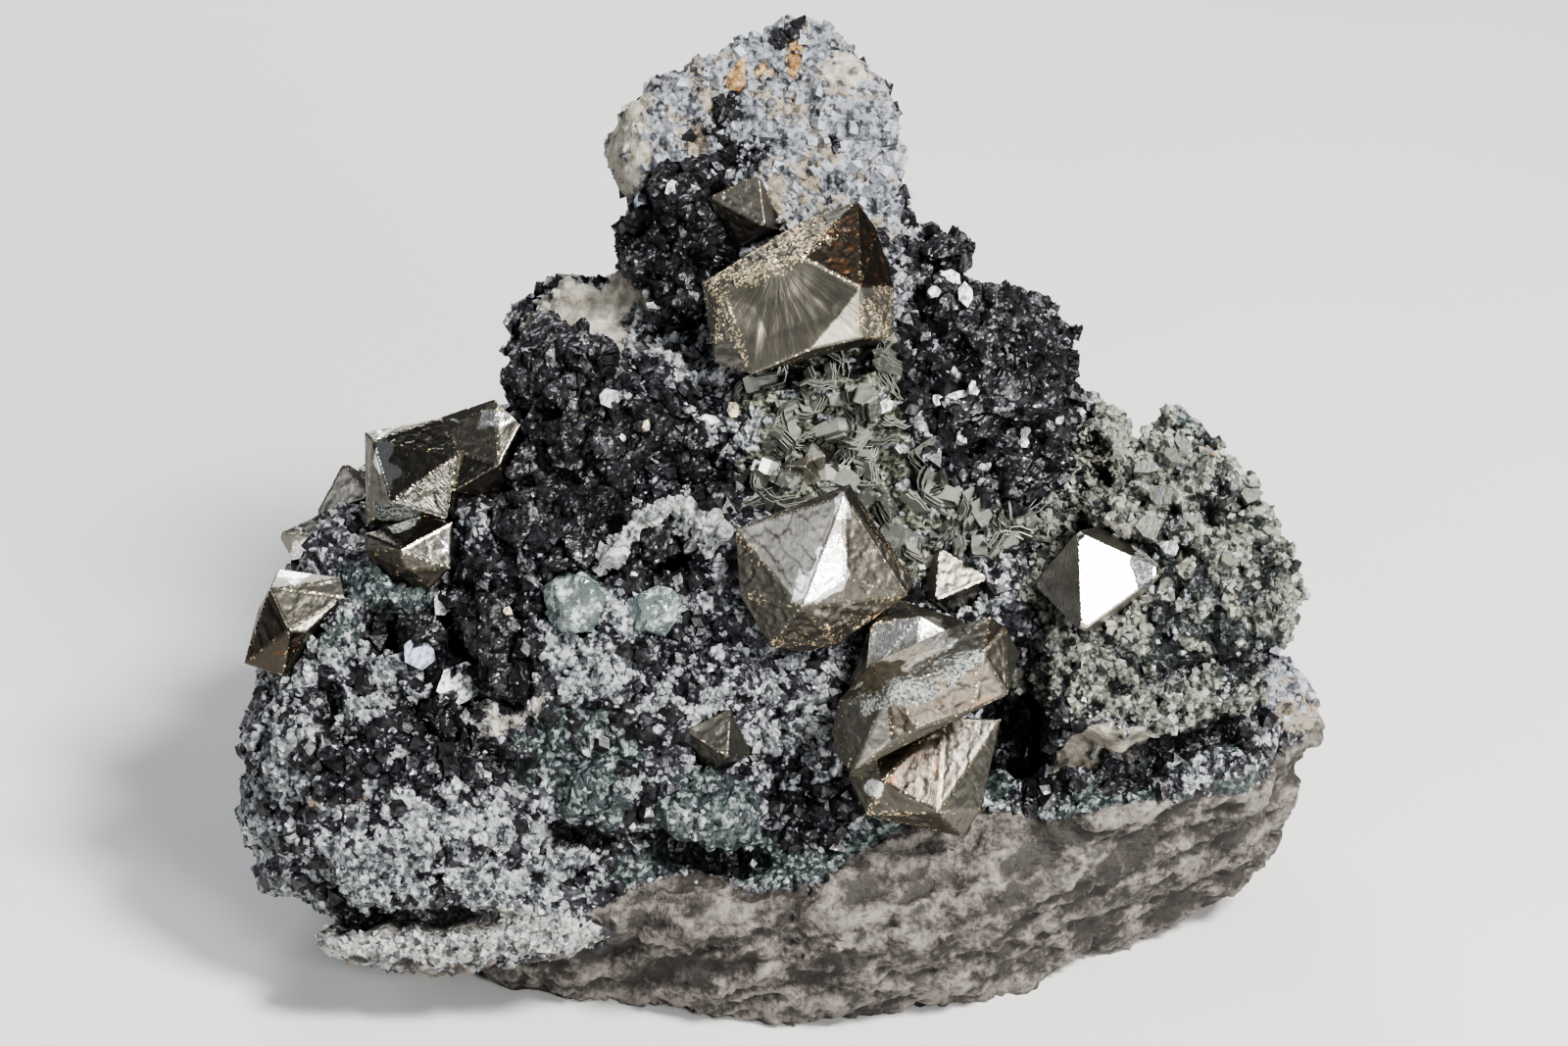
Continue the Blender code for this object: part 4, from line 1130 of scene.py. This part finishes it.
def halve(edge):
    """Splits an edge in the middle, and each triangle beside it from there to its far corner."""
    beside = list(edge.link_faces)
    middle = bmesh.utils.edge_split(edge, edge.verts[0], 0.5)[1]
    for face in beside:
        corners = list(face.verts)
        far = corners[(corners.index(middle) + 2) % len(corners)]
        bmesh.utils.face_split(face, middle, far)


def growth_steps(flat_face, place, height, spacing):
    """Low three-cornered terraces, as octahedral faces grow: how far a place stands out, in mm."""
    offset = place - flat_face.middle
    x, y = offset.dot(flat_face.along), offset.dot(flat_face.beside)
    wave = 0.5 * noise.noise(place / 1.6)
    reach = max(x, 0.5 * (-x + 1.732 * y), 0.5 * (-x - 1.732 * y)) / spacing + wave
    return -height * (reach - math.floor(reach))


def shell_break(place):
    """The ribbed hollow of a shell-like break that spreads down from a point at its top."""
    across, up, _ = (float(v[0]) for v in picture_places(np.array([place * MM])))
    dx, dy = across - SHELL_TOP[0], SHELL_TOP[1] - up
    reach, turn = math.hypot(dx, dy), math.atan2(dx, dy)
    ribs = 0.5 + 0.5 * math.sin(turn * 34.0 + 2.2 * noise.noise(place / 2.0))
    arcs = math.sin(reach * 2.0 * math.pi / 1.9 + 1.5 * noise.noise(place / 3.0))
    grow = min(1.0, max(0.0, (reach - 1.2) / 5.0))
    hollow = 0.45 * math.exp(-(((reach - 4.2) / 2.6) ** 2))
    return -hollow - 0.03 * ribs * grow + 0.02 * arcs


def worked_crystal(node, cell=0.24, step=0.035, spacing=1.3, wear=0.07, together=None, shell=None):
    """A crystal's mesh with its growth steps, worn edges and broken places worked in."""
    bm, owner, flat_faces = crystal_cells(node, cell, together)
    bm.normal_update()
    inside = [[] for _ in flat_faces]
    edge_vertices = []
    for vertex in bm.verts:
        owners = {face[owner] for face in vertex.link_faces}
        if len(owners) == 1:
            inside[owners.pop()].append(vertex)
        else:
            edge_vertices.append(vertex)
    broken = shell_index(flat_faces, shell) if shell is not None else None
    reaches = {vertex: 0.0 for vertex in edge_vertices}
    moves = {}
    for index, (flat_face, members) in enumerate(zip(flat_faces, inside)):
        if not members:
            continue
        places = np.array([vertex.co / MM for vertex in members])
        dull = face_look(node, flat_face.normal)[1]
        for vertex, reach in zip(members, flat_face.reach(places)):
            place = vertex.co / MM
            fade = min(1.0, reach / 0.45)
            if index == broken:
                rise = shell_break(place) * min(1.0, reach / 2.2)
            else:
                rise = growth_steps(flat_face, place, step, spacing)
                rough = 0.16 * tilted_cells(place, 0.9) + 0.10 * noise.noise(place / 0.5) - 0.05
                rise += dull * rough
            reaches[vertex] = reach
            moves[vertex] = flat_face.normal * rise * fade
    for vertex in edge_vertices:
        place = vertex.co / MM
        moves[vertex] = vertex.normal * -wear * (0.6 + 0.8 * abs(noise.noise(place / 0.7)))
    for vertex, move in moves.items():
        vertex.co += move * MM
    bmesh.ops.recalc_face_normals(bm, faces=bm.faces)
    looks = np.zeros((len(bm.verts), 2))
    for i, vertex in enumerate(bm.verts):
        found = [face_look(node, flat_faces[face[owner]].normal)[:2] for face in vertex.link_faces]
        looks[i] = np.mean(found, axis=0)
    rims = [1.0 - min(1.0, reaches[vertex] / 0.6) for vertex in bm.verts]
    shells = [float(all(face[owner] == broken for face in vertex.link_faces)) for vertex in bm.verts]
    mesh = bpy.data.meshes.new(node + "_worked")
    bm.to_mesh(mesh)
    bm.free()
    patches = laid_patches(points_of(mesh), PYRITE_PATCHES, PYRITE_KINDS, 0.5)
    faces_eye = smooth_rise(picture_facing(mesh), 0.0, 0.3)
    store(mesh, "brown", np.clip(looks[:, 0] + patches["brown"] * faces_eye, 0.0, 1.0))
    store(mesh, "dull", np.clip(looks[:, 1] + patches["dull"] * faces_eye, 0.0, 1.0))
    for kind in ("pale", "gold", "crusted"):
        store(mesh, kind, patches[kind] * faces_eye)
    store(mesh, "rim", rims)
    across, up, _ = picture_places(points_of(mesh))
    across, up = across - SHELL_TOP[0], SHELL_TOP[1] - up
    store(mesh, "ray", np.arctan2(across, up))
    store(mesh, "ray_reach", np.hypot(across, up))
    store(mesh, "shell", shells)
    mesh.polygons.foreach_set("use_smooth", [True] * len(mesh.polygons))
    mesh.set_sharp_from_angle(angle=math.radians(CREASE_ANGLE))
    return mesh


def shell_index(flat_faces, direction):
    return max(range(len(flat_faces)), key=lambda i: flat_faces[i].normal.dot(direction))


def picture_facing(mesh):
    """How squarely each point of the mesh faces the eye, 1 at the most."""
    normals = np.empty(len(mesh.vertices) * 3)
    mesh.vertices.foreach_get("normal", normals)
    return -(normals.reshape(-1, 3) @ np.array(AWAY))


# How each flat face looks: the way it faces in the view, how brown it is and how dull, both 0 to 1.
FACE_LOOKS = {
    "pyrite_central": (
        ((-0.44, 0.32, -0.84), 0.18, 0.22), ((-0.64, 0.08, -0.76), 0.45, 0.65),
        ((-0.63, -0.43, -0.64), 0.50, 0.70), ((0.24, 0.09, -0.97), 0.25, 0.20),
        ((0.48, 0.08, -0.87), 0.62, 0.30), ((0.41, -0.19, -0.89), 0.55, 0.35),
        ((0.39, -0.49, -0.78), 0.60, 0.75), ((-0.11, -0.78, -0.61), 0.60, 0.80),
        ((-0.40, 0.85, -0.35), 0.50, 0.55),
    ),
    "pyrite_upper_broken": (
        ((-0.1, 0.08, -0.99), 0.42, 0.45), ((0.22, 0.56, -0.80), 0.92, 0.25),
        ((0.63, 0.45, -0.63), 0.95, 0.25), ((-0.26, 0.72, -0.65), 0.45, 0.90),
        ((-0.46, 0.52, -0.72), 0.40, 0.90), ((0.75, 0.06, -0.66), 0.50, 0.85),
        ((0.60, -0.13, -0.79), 0.50, 0.80), ((-0.75, 0.06, -0.66), 0.45, 0.60),
        ((0.32, -0.89, -0.32), 0.60, 0.60),
    ),
    "pyrite_right_octahedron": (
        ((0.16, -0.02, -0.99), 0.0, 0.0), ((-0.88, -0.05, -0.48), 0.10, 0.15),
        ((0.59, -0.77, -0.23), 0.05, 0.20),
    ),
    "pyrite_front_group": (
        ((-0.13, 0.16, -0.98), 0.10, 0.20), ((-0.68, 0.04, -0.73), 0.35, 0.25),
        ((0.12, 0.35, -0.93), 0.85, 0.40), ((0.20, -0.04, -0.98), 0.80, 0.35),
        ((-0.37, 0.82, -0.43), 0.35, 0.35), ((0.68, 0.0, -0.73), 0.35, 0.25),
        ((-0.15, -0.87, -0.48), 0.55, 0.60), ((0.59, 0.22, -0.77), 0.65, 0.45),
    ),
    "pyrite_left_group": (
        ((-0.01, 0.15, -0.99), 0.45, 0.10), ((0.21, -0.16, -0.96), 0.60, 0.10),
        ((0.10, 0.68, -0.72), 0.55, 0.12), ((-0.09, 0.38, -0.92), 0.40, 0.20),
        ((0.44, 0.11, -0.89), 0.25, 0.12), ((0.21, -0.58, -0.78), 0.70, 0.30),
    ),
    "pyrite_left_tip": (
        ((0.23, 0.54, -0.81), 0.45, 0.30), ((-0.66, 0.05, -0.75), 0.80, 0.10),
        ((-0.41, -0.41, -0.82), 0.85, 0.15),
    ),
    "pyrite_dark_sliver": (((-0.54, -0.84, -0.10), 0.85, 0.20), ((0.48, -0.66, -0.59), 0.30, 0.05)),
    "pyrite_small_lower": (((-0.17, 0.50, -0.85), 0.45, 0.95), ((-0.61, -0.55, -0.56), 0.50, 0.90)),
    "pyrite_small_upper": (((-0.19, 0.28, -0.94), 0.45, 0.60), ((-0.54, -0.62, -0.56), 0.60, 0.70)),
    "pyrite_golden_grains": (((0.0, 0.0, -1.0), 0.10, 0.30),),
    "pyrite_left_rear": (((0.0, 0.0, -1.0), 0.25, 0.20), ((0.33, -0.74, -0.58), 0.65, 0.30)),
}
PLAIN_LOOK = (0.40, 0.35)
# Patches on the pyrite, laid in the view as the rock's are. The pale ones are painted highlights.
PYRITE_KINDS = ("brown", "dull", "pale", "gold", "crusted")
PYRITE_PATCHES = (
    ("pale", (3.0, -3.4), (1.5, 2.7), -25, 1.0),
    ("pale", (3.8, 1.4), (0.8, 0.7), 0, 1.0),
    ("gold", (7.6, -1.0), (0.7, 3.6), 33, 0.8),
    ("gold", (4.2, -7.6), (4.6, 1.1), 18, 0.6),
    ("gold", (-2.4, -3.6), (0.8, 3.0), 15, 0.5),
    ("gold", (-0.6, 20.0), (5.6, 1.5), 27, 0.9),
    ("gold", (6.9, 15.2), (1.5, 2.2), 0, 0.7),
    ("gold", (-4.0, 14.6), (1.2, 3.2), 10, 0.6),
    ("pale", (9.0, -8.6), (3.6, 2.0), 8, 0.55),
    ("crusted", (10.4, -11.5), (5.4, 1.5), 22, 0.62),
    ("pale", (6.4, -19.7), (0.9, 0.9), 0, 1.0),
    ("gold", (9.0, -22.0), (3.6, 1.2), -15, 0.4),
    ("pale", (-29.2, 4.5), (0.6, 2.3), 8, 0.8),
    ("pale", (-20.9, 7.9), (1.4, 0.7), 12, 0.8),
    ("pale", (-24.6, -2.0), (0.9, 0.9), 0, 0.7),
    ("crusted", (-28.6, 0.4), (1.9, 1.0), 0, 0.9),
    ("crusted", (-20.5, 0.8), (2.4, 2.0), 0, 0.8),
    ("pale", (-35.9, -3.0), (2.2, 1.8), 30, 0.5),
    ("crusted", (26.9, -3.0), (1.5, 2.4), 0, 1.0),
)
SHELL_TOP = (-0.6, 19.6)


def face_look(node, normal):
    """How brown and how dull a face of that crystal is, from the listed face nearest to it."""
    way = Vector((normal.dot(ACROSS), normal.dot(UP), normal.dot(AWAY)))
    listed = max(FACE_LOOKS[node], key=lambda look: way.dot(Vector(look[0])))
    return listed[1:] if way.dot(Vector(listed[0])) > 0.55 else PLAIN_LOOK


def pyrite_finish():
    brass = Finish("pyrite_worked")
    brown, dull, rim = brass.attribute("brown"), brass.attribute("dull"), brass.attribute("rim")
    pale, gold, crusted = brass.attribute("pale"), brass.attribute("gold"), brass.attribute("crusted")
    cloudy = brass.cloud(2.6, 4.0, 0.6)
    fine = brass.cloud(0.30, 3.0, 0.6)
    cells = brass.grain(0.15)
    chance = brass.first_of(cells)
    scratch = brass.cloud(1.0, 2.0, 0.55, at=brass.stretched((0.05, 1.9, 0.6), (0.5, 0.3, 0.9)))
    bands = brass.cloud(1.0, 2.0, 0.6, at=brass.stretched((4.0, 0.8, 0.5), (0.1, 0.45, 0.0)))
    film = (brown * 2.2 + (cloudy - 0.5) * 0.8 + (scratch - 0.5) * 0.4).between(0.05, 0.70)
    tone = brass.mixed(film, (0.50, 0.48, 0.43), (0.150, 0.142, 0.122))
    tarnish = (brown + (cloudy - 0.5) * 0.6 + (fine - 0.5) * 0.3).between(0.40, 0.95)
    tone = brass.mixed(tarnish, tone, (0.066, 0.055, 0.044))
    rust = (brown + (bands - 0.5) * 1.6).between(0.95, 1.35)
    tone = brass.mixed(rust, tone, (0.16, 0.070, 0.035))
    flecks = (chance + gold * 0.55 + rim * 0.40 + (fine - 0.5) * 0.5).between(1.20, 1.34)
    tone = brass.mixed(flecks, tone, (0.74, 0.60, 0.38))
    # Painted highlight: where the pale patches lie, the colour goes near white, as light shining off the
    # faces.
    painted_highlight = (pale + (fine - 0.5) * 0.5 + (scratch - 0.5) * 0.4).between(0.35, 0.6)
    tone = brass.mixed(painted_highlight, tone, (0.90, 0.89, 0.86))
    coated = (crusted + (fine - 0.5) * 0.9 + (cloudy - 0.5) * 1.6).between(0.48, 0.62)
    crumbs = (chance + (cloudy - 0.5) * 2.0).between(0.1, 1.1)
    coating = brass.mixed(crumbs, (0.02, 0.026, 0.028), (0.30, 0.31, 0.28))
    tone = brass.mixed(coated, tone, coating)
    rough = 0.12 + dull.between(0.0, 0.3) * 0.20 + dull * 0.14 + (scratch - 0.4) * 0.16
    rough = rough + coated * 0.3 - painted_highlight * 0.08
    lean = dull * 0.10 + gold * 0.25 + flecks * 0.25 + 0.01
    ray, ray_reach = brass.attribute("ray") * 9.0, brass.attribute("ray_reach") * 0.25
    rays = brass.node("ShaderNodeCombineXYZ", {}, {0: ray, 1: ray_reach})
    streaks = brass.cloud(2.2, 3.0, 0.6, at=rays)
    shell = brass.attribute("shell")
    tone = brass.mixed(shell * streaks.between(0.45, 0.72), tone, (0.21, 0.19, 0.145))
    height = (scratch * 0.5 + fine * 0.5) * (1.0 - shell) + streaks * shell * 0.9
    normal = brass.faceted(cells, lean * (1.0 - shell * 0.8), brass.bumped(height, 0.030))
    metal = 1.0 - coated * 0.9
    return brass.shaded(Base_Color=tone, Roughness=rough, Metallic=metal, Normal=normal)


pyrite_material = pyrite_finish()
EYE_WARD = -AWAY
for node in FACE_LOOKS:
    if node == "pyrite_upper_broken":
        mesh = worked_crystal(node, together=(EYE_WARD, 0.93), shell=EYE_WARD)
    elif node == "pyrite_right_octahedron":
        mesh = worked_crystal(node, step=0.010, spacing=2.5, wear=0.03)
    else:
        mesh = worked_crystal(node)
    crystal = new_piece(node + "_grown", mesh, pyrite_material)
    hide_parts(node)
    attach(crystal, "root")
